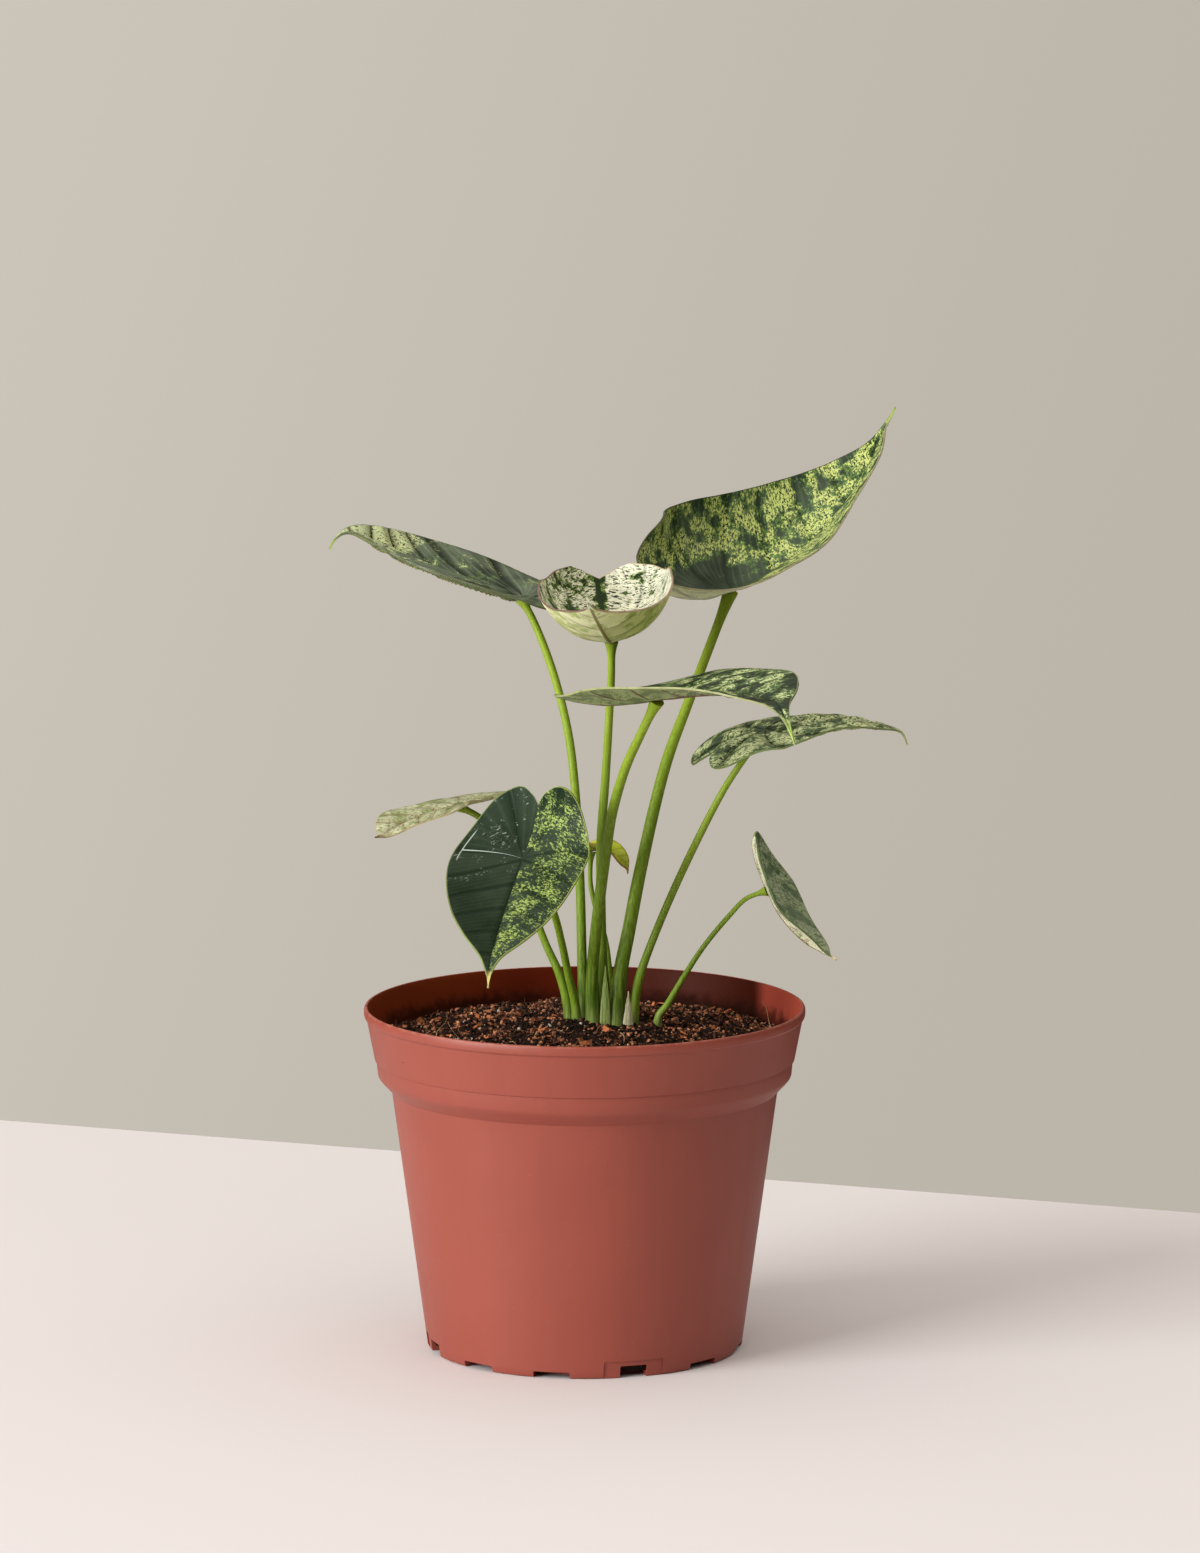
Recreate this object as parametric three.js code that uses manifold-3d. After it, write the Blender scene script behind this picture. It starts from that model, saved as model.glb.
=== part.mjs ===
// Potted green mint alocasia: nine shield leaves on round stalks, standing in potting mix
// in a tapered nursery pot. Millimetres and degrees, +Z up, origin at the centre of the
// pot's base on the surface that it stands on. The plant faces -Y.
import * as THREE from 'three';
import { mergeVertices } from 'three/addons/utils/BufferGeometryUtils.js';
import Module from 'manifold-3d';

const wasm = await Module();
wasm.setup();

// Pot
const POT_HEIGHT = 117.5;
const RIM_RADIUS = 75;
const LIP_HEIGHT = 3.6;
const LIP_STEP = 0.8;
const COLLAR_LINE_RADIUS = 71.4;
const COLLAR_LINE_Z = 99.5;
const COLLAR_FOOT_RADIUS = 70.3;
const COLLAR_FOOT_Z = 94.1;
const BODY_TOP_RADIUS = 65.7;
const BODY_TOP_Z = 89;
const BASE_RADIUS = 53.7;
const BASE_ROUNDING = 1;
const POT_WALL = 1.4;
const POT_FLOOR = 1.6;
const POT_SIDES = 48;

// Drainage notches round the bottom corner of the pot, counted from the front towards +X.
// Every third one is taller and stands in a shallow panel.
const NOTCHES = 12;
const NOTCH_TURN = 18;
const NOTCH_WIDTH = 12.5;
const NOTCH_HEIGHT = 2.3;
const NOTCH_REACH = 7;
const TALL_NOTCH_EVERY = 3;
const TALL_NOTCH_WIDTH = 9.5;
const TALL_NOTCH_HEIGHT = 4.2;
const PANEL_WIDTH = 21;
const PANEL_HEIGHT = 6;
const PANEL_DEPTH = 0.5;

// Potting mix
const SOIL_EDGE_Z = 107;
const SOIL_CROWN_Z = 112.5;
const SOIL_RINGS = 6;
const SOIL_SLOPE = 1.6;
const SOIL_ROUGHNESS = 0.7;
const SOIL_SMOOTH_EDGE = 2;
const SOIL_FADE = 10;

// Play between two pieces that touch, and how deep the stalks stand in the mix
const GAP = 0.3;
const ROOTED_Z = 92;

// Blades
const BLADE_THICKNESS = 0.8;
const MIDRIB_STEPS = 60;
const NORMAL_STEP = 0.4;
const ALMOST_FLAT = 1e-5;
const TIP_CURL_START = 0.8;
const LOBE_EASE = 0.3;
const EDGE_WAVES = 3.5;
const RINGS = [0.22, 0.45, 0.66, 0.82, 0.92, 1];
const SMALL_RINGS = [0.3, 0.6, 0.85, 1];
const SPOKES_PER_SIDE = 16;
const SMALL_SPOKES_PER_SIDE = 11;
const SMALL_BLADE = 45;

// Stalks
const STALK_SIDES = 8;
const STALK_STEP = 13;
const STALK_MIN_STEPS = 6;
const STALK_TAPER_END = 0.87;

// Right half of a flat blade from the notch between its lobes, out round the right lobe to
// the tip. x counts half widths. y counts the length ahead of the seat and the lobe behind it.
const NOTCH = -0.8;
const NOTCH_SHOULDER = 0.35;
const HALF_OUTLINE = [
  [0.34, -1.00], [0.68, -0.80], [0.91, -0.38], [1.00, 0.04],
  [0.93, 0.29], [0.72, 0.53], [0.41, 0.75], [0.15, 0.89], [0.04, 0.955], [0.00, 1.00],
];

const halfOutline = (notch = NOTCH) => new THREE.SplineCurve([
  [0, notch], [0.13, -1 + NOTCH_SHOULDER * (1 + notch)], ...HALF_OUTLINE,
].map(([x, y]) => new THREE.Vector2(x, y)));

// A leaf's blade is held at its seat, where the stalk meets it.
// heading: way that the midrib points seen from above, 0 to +X and 90 to +Y
// pitch, roll: rise of the midrib at the seat, and lean of the blade about it
// length: seat to tip. width: across. lobes: seat to the ends of the lobes behind it
// notch: how far back the lobes are joined, in lobes
// vee: lift of the right and left half at the midrib. curl: how much more each has at its margin
// backVee, frontVee: the same lift at the ends of the lobes and at the tip
// arch, tipCurl: turn of the midrib up on the way to the tip, and over its last fifth
// lobeLift: turn of the lobes. sweep, twist: change of heading and roll towards the tip
// wave: height of the margin's waves
// stalk: points of the stalk's middle line from the mix up to the seat, radii: foot and top
const LEAVES = [
  {
    name: 'tall_left', seat: [-21.5, 42, 251.5], heading: 179, pitch: 12, roll: 3,
    length: 73, width: 63, lobes: 21, vee: [4, 9], backVee: [8, 0],
    frontVee: [21, 19], curl: [0, 0], arch: 21, tipCurl: -99, lobeLift: 14,
    sweep: -4, twist: 4, wave: 0.5,
    stalk: [[-0.5, 1.5, 115], [-1, 3.5, 136], [-1.5, 7, 156], [-3, 15, 186],
      [-5.5, 22, 207], [-10.5, 30, 226.5], [-17, 37.5, 243]],
    radii: [1.8, 1.3],
  },
  {
    name: 'tall_middle', seat: [9, -8, 243.5], heading: -91, pitch: 5, roll: -3,
    length: 62, width: 70, lobes: 53, notch: -0.95, vee: [0, 6], backVee: [15, 9],
    frontVee: [-3, -5], curl: [86, 86], arch: 30, tipCurl: -4, lobeLift: 69,
    sweep: -14, twist: 2, wave: 0.5,
    stalk: [[7, 0.5, 116], [6, 0, 133], [5.5, -0.5, 154], [5.5, -2, 174.5],
      [7, -3.5, 195.5], [8.5, -5.5, 221.5], [9, -6.8, 232]],
    radii: [1.9, 1.3],
  },
  {
    name: 'tall_right', seat: [50, 50, 253], heading: 38, pitch: 11, roll: 7,
    length: 98, width: 82, lobes: 39, vee: [9, 12], backVee: [11, 11],
    frontVee: [9, 12], curl: [9, 88], arch: 56, tipCurl: -8, lobeLift: 59,
    sweep: 1, twist: 18, wave: 0.6,
    stalk: [[10.5, -3.5, 114], [12, -2.5, 128.5], [15, 0, 143.5], [19, 5, 163.5],
      [27.5, 16.5, 197.5], [35, 25, 217], [41, 33.5, 231.5]],
    radii: [2.8, 1.6],
  },
  {
    name: 'middle', seat: [24, -46, 229], heading: -51, pitch: 13, roll: -2,
    length: 96, width: 58, lobes: 39, vee: [8, 13], backVee: [17, -3],
    frontVee: [0, 17], curl: [11, -1], arch: -15, tipCurl: -64, lobeLift: 25,
    sweep: -25, twist: 4, wave: 0.7,
    stalk: [[3, -5, 114], [2.5, -6, 127.5], [3.5, -8.5, 141.5], [7, -17, 172],
      [9.5, -24, 188.5], [14, -33, 205], [18.5, -39.5, 216]],
    radii: [2.3, 1.5],
  },
  {
    name: 'right', seat: [61, -5, 213], heading: 13, pitch: 12, roll: -3,
    length: 52, width: 46, lobes: 26, vee: [-12, -4], backVee: [-6, -16],
    frontVee: [5, -9], curl: [16, 0], arch: -28, tipCurl: -59, lobeLift: -31,
    sweep: -18, twist: 0, wave: 0.5,
    stalk: [[16.5, -1.5, 114.5], [18, -1.5, 125], [20.5, -2, 133.5], [31, -2.5, 159.5],
      [46, -4, 190.5], [52.5, -4.5, 201]],
    radii: [1.7, 1.1],
  },
  {
    name: 'front_left', seat: [-20.5, -40, 174.5], heading: -104, pitch: -27, roll: -5,
    length: 71, width: 47, lobes: 30, vee: [7, 3], backVee: [17, 21],
    frontVee: [19, 19], curl: [8, -2], arch: 8, tipCurl: -55, lobeLift: 54,
    sweep: 8, twist: 11, wave: 0.6,
    stalk: [[-3, -5, 117], [-5.5, -8.5, 129.5], [-7.5, -13.5, 140.5], [-10, -20.5, 152],
      [-14, -29.5, 164]],
    radii: [1.4, 1.2],
  },
  {
    name: 'low_left', seat: [-43, 12, 184.5], heading: 194, pitch: -8, roll: 7,
    length: 37, width: 34, lobes: 15, vee: [3, 10], backVee: [11, 8], frontVee: [9, 10],
    curl: [-26, 12], arch: -14, tipCurl: 31, lobeLift: 10, sweep: 47, twist: 2, wave: 0.6,
    stalk: [[-5.5, -1, 115.5], [-8.5, -0.5, 128], [-13, 1, 138], [-18.5, 3.5, 151.5],
      [-27, 7.5, 169.5], [-34.5, 10.5, 179.5]],
    radii: [1.5, 1.1],
  },
  {
    name: 'low_right', seat: [61.5, -14, 159.5], heading: -33, pitch: -61, roll: 22,
    length: 37, width: 34, lobes: 20, vee: [18, 17], backVee: [19, 13], frontVee: [21, 15],
    curl: [-11, 9], arch: 53, tipCurl: -6, lobeLift: 30, sweep: -8, twist: 1, wave: 0.5,
    stalk: [[25, -4, 114], [28, -4.5, 118.5], [34, -5.5, 129], [40.5, -8, 139.5],
      [49, -11, 150.5], [54.5, -13, 156.5]],
    radii: [1.1, 0.8],
  },
  {
    name: 'young', seat: [2, 16, 168], heading: -5, pitch: 15, roll: 10,
    length: 17, width: 11, lobes: 4, vee: [25, 25], backVee: [25, 25], frontVee: [25, 25],
    curl: [15, 15], arch: -90, tipCurl: -20, lobeLift: 0, sweep: 0, twist: 0, wave: 0.2,
    stalk: [[9, 6, 114.5], [8.5, 7, 126.5], [7, 9.5, 138.5], [4, 12, 148],
      [2, 14, 157]],
    radii: [1.1, 0.8],
  },
];

// Dried papery bracts between the feet of the stalks.
// foot: where it stands. turn: way that its rounded back faces
const BRACTS = [
  { name: 'bract_middle', foot: [7, -7.2], turn: -90, width: 3.6, height: 20, radius: 4 },
  { name: 'bract_right', foot: [14.8, -6.4], turn: -80, width: 3.6, height: 11, radius: 4 },
];
const BRACT_THICKNESS = 0.7;
const BRACT_ROOTED_Z = 106;

// Outline of a bract above the mix, in half widths and shares of its height
const BRACT_OUTLINE = [[0.95, 0.1], [0.3, 0.75], [0, 1], [-0.35, 0.7], [-1, 0.1]];

// Colours as photographed
const POT_COLOUR = 0xb0553f;
const SOIL_COLOUR = 0x2c1a12;
const BLADE_COLOUR = 0x6f8f52;
const PALE_BLADE_COLOUR = 0xcdd8a6;
const YOUNG_BLADE_COLOUR = 0xa8b838;
const STALK_COLOUR = 0x6f9a3a;
const BRACT_COLOUR = 0xc9c79a;
const PALE_BLADES = ['tall_middle', 'low_left'];

const SAME_POINT = 1e-4;

const rad = THREE.MathUtils.degToRad;
const clamp = THREE.MathUtils.clamp;
const mix = THREE.MathUtils.lerp;

// Closed geometry to a solid that can be cut, and back
const toSolid = (geometry) => {
  const bare = geometry.clone();
  bare.deleteAttribute('normal');
  bare.deleteAttribute('uv');
  const shared = mergeVertices(bare, SAME_POINT);
  const vertProperties = new Float32Array(shared.attributes.position.array);
  const triVerts = new Uint32Array(shared.index.array);
  return new wasm.Manifold(new wasm.Mesh({ numProp: 3, vertProperties, triVerts }));
};

const toGeometry = (solid) => {
  const { vertProperties, triVerts } = solid.getMesh();
  const geometry = new THREE.BufferGeometry();
  geometry.setAttribute('position', new THREE.BufferAttribute(vertProperties, 3));
  geometry.setIndex(new THREE.BufferAttribute(triVerts, 1));
  geometry.computeVertexNormals();
  return geometry;
};

const turned = (profile) => {
  const points = profile.map(([r, z]) => new THREE.Vector2(r, z));
  return new THREE.LatheGeometry(points, POT_SIDES).rotateX(Math.PI / 2);
};

// Pot: one wall of even thickness from base to lip, with the collar stepped out near the top
const bodyRadius = (z) => mix(BASE_RADIUS, BODY_TOP_RADIUS, z / BODY_TOP_Z);
const lipZ = POT_HEIGHT - LIP_HEIGHT;

const potProfile = [
  [0, 0],
  [BASE_RADIUS - BASE_ROUNDING, 0],
  [bodyRadius(BASE_ROUNDING), BASE_ROUNDING],
  [BODY_TOP_RADIUS, BODY_TOP_Z],
  [COLLAR_FOOT_RADIUS, COLLAR_FOOT_Z],
  [COLLAR_LINE_RADIUS, COLLAR_LINE_Z],
  [RIM_RADIUS - LIP_STEP, lipZ],
  [RIM_RADIUS, lipZ + LIP_STEP / 2],
  [RIM_RADIUS, POT_HEIGHT - LIP_STEP],
  [RIM_RADIUS - LIP_STEP, POT_HEIGHT],
  [RIM_RADIUS - POT_WALL, POT_HEIGHT],
  [RIM_RADIUS - POT_WALL - LIP_STEP, lipZ],
  [COLLAR_FOOT_RADIUS - POT_WALL, COLLAR_FOOT_Z],
  [BODY_TOP_RADIUS - POT_WALL, BODY_TOP_Z],
  [bodyRadius(POT_FLOOR) - POT_WALL, POT_FLOOR],
  [0, POT_FLOOR],
];

// Box that cuts into the pot's corner from outside, at an angle counted from the front
const cornerCut = (angle, width, height, from) => {
  const outer = BASE_RADIUS + NOTCH_REACH;
  const box = new THREE.BoxGeometry(outer - from, width, 2 * height);
  box.translate((outer + from) / 2, 0, 0);
  box.rotateZ(rad(angle - 90));
  return toSolid(box);
};

const buildPot = () => {
  const below = -2 * PANEL_HEIGHT;
  const above = 2 * PANEL_HEIGHT;
  const panelFace = toSolid(turned([
    [0, below],
    [bodyRadius(below) - PANEL_DEPTH, below],
    [bodyRadius(above) - PANEL_DEPTH, above],
    [0, above],
  ]));
  let pot = toSolid(turned(potProfile));
  for (let k = 0; k < NOTCHES; k += 1) {
    const angle = NOTCH_TURN + (k * 360) / NOTCHES;
    const tall = k % TALL_NOTCH_EVERY === 0;
    const width = tall ? TALL_NOTCH_WIDTH : NOTCH_WIDTH;
    const height = tall ? TALL_NOTCH_HEIGHT : NOTCH_HEIGHT;
    pot = pot.subtract(cornerCut(angle, width, height, BASE_RADIUS - NOTCH_REACH));
    if (tall) {
      const panel = cornerCut(angle, PANEL_WIDTH, PANEL_HEIGHT, BASE_RADIUS - NOTCH_REACH);
      pot = pot.subtract(panel.subtract(panelFace));
    }
  }
  return toGeometry(pot);
};

// Stalk: a round taper along a smooth line, with its top cut to lie along the blade
const stalkGeometry = (leaf, grow, foot) => {
  const [seat, up] = [new THREE.Vector3(...leaf.seat), bladeNormal(leaf, 0, 0)];
  const top = seat.clone().addScaledVector(up, -(BLADE_THICKNESS / 2 + GAP));
  const root = [leaf.stalk[0][0], leaf.stalk[0][1], foot];
  const line = [root, ...leaf.stalk].map((p) => new THREE.Vector3(...p));
  const path = new THREE.CatmullRomCurve3([...line, top], false, 'centripetal');
  const steps = Math.max(STALK_MIN_STEPS, Math.round(path.getLength() / STALK_STEP));
  const { tangents, normals, binormals } = path.computeFrenetFrames(steps, false);
  const geometry = new THREE.CylinderGeometry(1, 1, 1, STALK_SIDES, steps);
  const position = geometry.attributes.position;
  for (let i = 0; i < position.count; i += 1) {
    const u = position.getY(i) + 0.5;
    const step = Math.round(u * steps);
    const radius = grow + mix(...leaf.radii, Math.min(1, u / STALK_TAPER_END));
    const point = path.getPointAt(step / steps)
      .addScaledVector(normals[step], position.getZ(i) * radius)
      .addScaledVector(binormals[step], position.getX(i) * radius);
    if (step === steps && grow === 0) {
      const off = point.clone().sub(top).dot(up) / tangents[step].dot(up);
      point.addScaledVector(tangents[step], -off);
    }
    position.setXYZ(i, point.x, point.y, point.z);
  }
  return geometry;
};

// Blade: a flat point (x to the right, y to the tip) bent into place
const midribTurn = (leaf, v) => {
  const ahead = clamp(v, 0, 1);
  const tip = THREE.MathUtils.smoothstep(ahead, TIP_CURL_START, 1);
  const behind = v < -LOBE_EASE ? v + LOBE_EASE / 2 : -(Math.min(v, 0) ** 2) / (2 * LOBE_EASE);
  const pitch = rad(leaf.pitch + leaf.arch * ahead + leaf.tipCurl * tip + leaf.lobeLift * behind);
  const heading = rad(leaf.heading + leaf.sweep * v);
  const roll = rad(leaf.roll + leaf.twist * v);
  const along = new THREE.Vector3(
    Math.cos(pitch) * Math.cos(heading), Math.cos(pitch) * Math.sin(heading), Math.sin(pitch));
  const level = new THREE.Vector3(Math.sin(heading), -Math.cos(heading), 0);
  const over = level.clone().cross(along);
  const side = level.clone().multiplyScalar(Math.cos(roll)).addScaledVector(over, Math.sin(roll));
  const up = over.multiplyScalar(Math.cos(roll)).addScaledVector(level, -Math.sin(roll));
  return { along, side, up };
};

const midrib = (leaf) => {
  const step = (leaf.length + leaf.lobes) / MIDRIB_STEPS;
  const seatAt = leaf.lobes / step;
  const points = [new THREE.Vector3()];
  for (let k = 0; k < MIDRIB_STEPS; k += 1) {
    const y = (k + 0.5 - seatAt) * step;
    const { along } = midribTurn(leaf, y >= 0 ? y / leaf.length : y / leaf.lobes);
    points.push(points[k].clone().addScaledVector(along, step));
  }
  const at = (place) => {
    const k = Math.min(MIDRIB_STEPS - 1, Math.floor(place));
    return points[k].clone().lerp(points[k + 1], place - k);
  };
  const seat = at(seatAt);
  return (y) => at(clamp(y / step + seatAt, 0, MIDRIB_STEPS)).sub(seat);
};

const midribs = new Map(LEAVES.map((leaf) => [leaf, midrib(leaf)]));

const bladePoint = (leaf, x, y) => {
  const half = x >= 0 ? 0 : 1;
  const v = y >= 0 ? y / leaf.length : y / leaf.lobes;
  const ends = v >= 0 ? leaf.frontVee : leaf.backVee;
  const lift = rad(mix(leaf.vee[half], ends[half], clamp(Math.abs(v), 0, 1)));
  const bend = rad(leaf.curl[half]) / (leaf.width / 2) || ALMOST_FLAT;
  const reach = (Math.sin(lift + bend * Math.abs(x)) - Math.sin(lift)) / bend;
  const rise = (Math.cos(lift) - Math.cos(lift + bend * Math.abs(x))) / bend;
  const { side, up } = midribTurn(leaf, v);
  return new THREE.Vector3(...leaf.seat).add(midribs.get(leaf)(y))
    .addScaledVector(side, half === 0 ? reach : -reach)
    .addScaledVector(up, rise);
};

const bladeNormal = (leaf, x, y) => {
  const d = NORMAL_STEP;
  const across = bladePoint(leaf, x + d, y).sub(bladePoint(leaf, x - d, y));
  const along = bladePoint(leaf, x, y + d).sub(bladePoint(leaf, x, y - d));
  return across.cross(along).normalize();
};

// Both faces are rings of points round the seat on spokes to the margin, split alike
const bladeGeometry = (leaf) => {
  const small = leaf.length < SMALL_BLADE;
  const rings = small ? SMALL_RINGS : RINGS;
  const perSide = small ? SMALL_SPOKES_PER_SIDE : SPOKES_PER_SIDE;
  const spokes = 2 * perSide;
  const outline = halfOutline(leaf.notch);
  const faces = [[], []];
  const add = (x, y, wave) => {
    const point = bladePoint(leaf, x, y);
    const up = bladeNormal(leaf, x, y);
    faces[0].push(...point.clone().addScaledVector(up, wave + BLADE_THICKNESS / 2));
    faces[1].push(...point.clone().addScaledVector(up, wave - BLADE_THICKNESS / 2));
  };
  add(0, 0, 0);
  for (const ring of rings) {
    for (let s = 0; s < spokes; s += 1) {
      const t = (s <= perSide ? s : spokes - s) / perSide;
      const edge = outline.getPoint(t);
      const x = ring * edge.x * (leaf.width / 2) * (s <= perSide ? 1 : -1);
      const y = ring * edge.y * (edge.y >= 0 ? leaf.length : leaf.lobes);
      const swell = Math.sin(Math.PI * t) * Math.sin(2 * Math.PI * EDGE_WAVES * t + leaf.heading);
      add(x, y, leaf.wave * ring ** 3 * swell);
    }
  }
  const count = faces[0].length / 3;
  const at = (ring, s) => 1 + ring * spokes + (s % spokes);
  const index = [];
  const both = (a, b, c) => index.push(a, b, c, count + a, count + c, count + b);
  for (let s = 0; s < spokes; s += 1) {
    both(0, at(0, s), at(0, s + 1));
    for (let k = 1; k < rings.length; k += 1) {
      both(at(k - 1, s), at(k, s), at(k, s + 1));
      both(at(k - 1, s), at(k, s + 1), at(k - 1, s + 1));
    }
    const [a, b] = [at(rings.length - 1, s), at(rings.length - 1, s + 1)];
    index.push(a, count + a, b, b, count + a, count + b);
  }
  const geometry = new THREE.BufferGeometry();
  geometry.setAttribute('position', new THREE.Float32BufferAttribute([...faces[0], ...faces[1]], 3));
  geometry.setIndex(index);
  geometry.computeVertexNormals();
  return geometry;
};

// Bract: a thin pointed scale, bowed round an upright axis
const bractGeometry = (bract, grow) => {
  const w = bract.width / 2 + grow;
  const foot = BRACT_ROOTED_Z - grow;
  const shape = new THREE.Shape();
  shape.moveTo(-w, foot);
  shape.lineTo(w, foot);
  for (const [across, high] of BRACT_OUTLINE) {
    shape.lineTo(w * across, SOIL_CROWN_Z + high * bract.height);
  }
  const depth = BRACT_THICKNESS + 2 * grow;
  const geometry = new THREE.ExtrudeGeometry(shape, { depth, bevelEnabled: false });
  const position = geometry.attributes.position;
  for (let i = 0; i < position.count; i += 1) {
    const bow = position.getX(i) / bract.radius + rad(bract.turn);
    const r = bract.radius + position.getZ(i) - depth / 2;
    const x = bract.foot[0] + r * Math.cos(bow) - bract.radius * Math.cos(rad(bract.turn));
    const y = bract.foot[1] + r * Math.sin(bow) - bract.radius * Math.sin(rad(bract.turn));
    position.setXYZ(i, x, y, position.getY(i));
  }
  return geometry;
};

// Potting mix: fills the pot to below the rim, mounded at the crown and slightly rough,
// with a plain hole for each stalk and bract
const soilInside = (z) => {
  if (z <= BODY_TOP_Z) {
    return bodyRadius(z) - POT_WALL - GAP;
  }
  const ledge = (z - BODY_TOP_Z) / (COLLAR_FOOT_Z - BODY_TOP_Z);
  if (ledge <= 1) {
    return mix(BODY_TOP_RADIUS, COLLAR_FOOT_RADIUS, ledge) - POT_WALL - GAP;
  }
  const collar = (z - COLLAR_FOOT_Z) / (lipZ - COLLAR_FOOT_Z);
  return mix(COLLAR_FOOT_RADIUS, RIM_RADIUS - LIP_STEP, collar) - POT_WALL - GAP;
};

const buildSoil = () => {
  const floor = POT_FLOOR + GAP;
  const edge = soilInside(SOIL_EDGE_Z);
  const profile = [
    [0, floor],
    [soilInside(floor), floor],
    [soilInside(BODY_TOP_Z), BODY_TOP_Z + GAP],
    [soilInside(COLLAR_FOOT_Z), COLLAR_FOOT_Z + GAP],
    [edge, SOIL_EDGE_Z],
  ];
  for (let k = 1; k <= SOIL_RINGS; k += 1) {
    const out = 1 - k / SOIL_RINGS;
    profile.push([edge * out, mix(SOIL_CROWN_Z, SOIL_EDGE_Z, out ** SOIL_SLOPE)]);
  }
  const geometry = turned(profile);
  const position = geometry.attributes.position;
  for (let i = 0; i < position.count; i += 1) {
    const [x, y, z] = [position.getX(i), position.getY(i), position.getZ(i)];
    const inner = clamp((edge - SOIL_SMOOTH_EDGE - Math.hypot(x, y)) / SOIL_FADE, 0, 1);
    if (z > SOIL_EDGE_Z - 1) {
      const broad = Math.sin(x * 0.31 + 1.3) * Math.cos(y * 0.27 - 0.6);
      const fine = 0.5 * Math.sin(x * 0.13 - y * 0.41);
      position.setZ(i, z + SOIL_ROUGHNESS * inner * (broad + fine));
    }
  }
  let soil = toSolid(geometry);
  for (const leaf of LEAVES) {
    soil = soil.subtract(toSolid(stalkGeometry(leaf, GAP, ROOTED_Z - GAP)));
  }
  for (const bract of BRACTS) {
    soil = soil.subtract(toSolid(bractGeometry(bract, GAP)));
  }
  return toGeometry(soil);
};

const finish = (color, roughness) => (
  new THREE.MeshStandardMaterial({ color, roughness, metalness: 0 })
);

const bladeColour = (name) => {
  if (name === 'young') {
    return YOUNG_BLADE_COLOUR;
  }
  return PALE_BLADES.includes(name) ? PALE_BLADE_COLOUR : BLADE_COLOUR;
};

const plant = new THREE.Group();
const place = (name, geometry, material) => {
  const mesh = new THREE.Mesh(geometry, material);
  mesh.name = name;
  plant.add(mesh);
};

place('pot', buildPot(), finish(POT_COLOUR, 0.5));
place('potting_mix', buildSoil(), finish(SOIL_COLOUR, 0.95));
for (const leaf of LEAVES) {
  place(`stalk_${leaf.name}`, stalkGeometry(leaf, 0, ROOTED_Z), finish(STALK_COLOUR, 0.45));
  place(`blade_${leaf.name}`, bladeGeometry(leaf), finish(bladeColour(leaf.name), 0.4));
}
for (const bract of BRACTS) {
  place(bract.name, bractGeometry(bract, 0), finish(BRACT_COLOUR, 0.7));
}

export default plant;
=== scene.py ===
# Potted green mint alocasia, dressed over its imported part. Metres, +Z up, the plant faces -Y.
from math import cos, pi, radians, sin, tan
from random import Random

import bpy
import numpy as np
from mathutils import Matrix, Vector, noise


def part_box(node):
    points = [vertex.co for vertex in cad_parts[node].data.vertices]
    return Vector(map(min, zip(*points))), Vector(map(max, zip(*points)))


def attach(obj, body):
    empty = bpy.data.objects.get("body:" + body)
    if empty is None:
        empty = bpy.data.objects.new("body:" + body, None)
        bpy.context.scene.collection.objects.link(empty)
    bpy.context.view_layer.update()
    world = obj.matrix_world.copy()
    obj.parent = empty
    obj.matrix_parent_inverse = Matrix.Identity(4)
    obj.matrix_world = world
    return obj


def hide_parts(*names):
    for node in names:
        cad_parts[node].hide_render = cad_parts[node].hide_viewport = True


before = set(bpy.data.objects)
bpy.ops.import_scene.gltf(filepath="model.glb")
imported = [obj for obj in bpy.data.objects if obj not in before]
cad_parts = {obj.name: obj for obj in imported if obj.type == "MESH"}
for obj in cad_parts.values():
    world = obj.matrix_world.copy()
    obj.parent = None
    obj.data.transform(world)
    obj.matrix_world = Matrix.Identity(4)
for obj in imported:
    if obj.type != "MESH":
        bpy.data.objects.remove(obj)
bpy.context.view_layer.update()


# Nursery pot
# One thin shell of terracotta-red polypropylene, injection moulded in one shot. Its lip is
# rolled, its collar steps out so that empty pots stack, and water drains at its bottom corner.
MM = 0.001
pot_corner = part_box("pot")[1]
rim_radius = pot_corner[0] / MM
pot_height = pot_corner[2] / MM
lip_step = 0.8
lip_foot = pot_height - 3.6
base_radius = 53.7
body_top = (65.7, 89)
collar_foot = (70.3, 94.1)
collar_line = (71.4, 99.5)
pot_wall = 1.4
pot_floor = 1.6
pot_sides = 192
notch_count = 12
notch_turn = 18
notch_size = (12.5, 2.3)
tall_notch_size = (9.5, 4.2)
panel_size = (21, 6)
panel_depth = 0.5
cutter_reach = 7


def body_radius(height):
    return base_radius + (body_top[0] - base_radius) * height / body_top[1]


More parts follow.
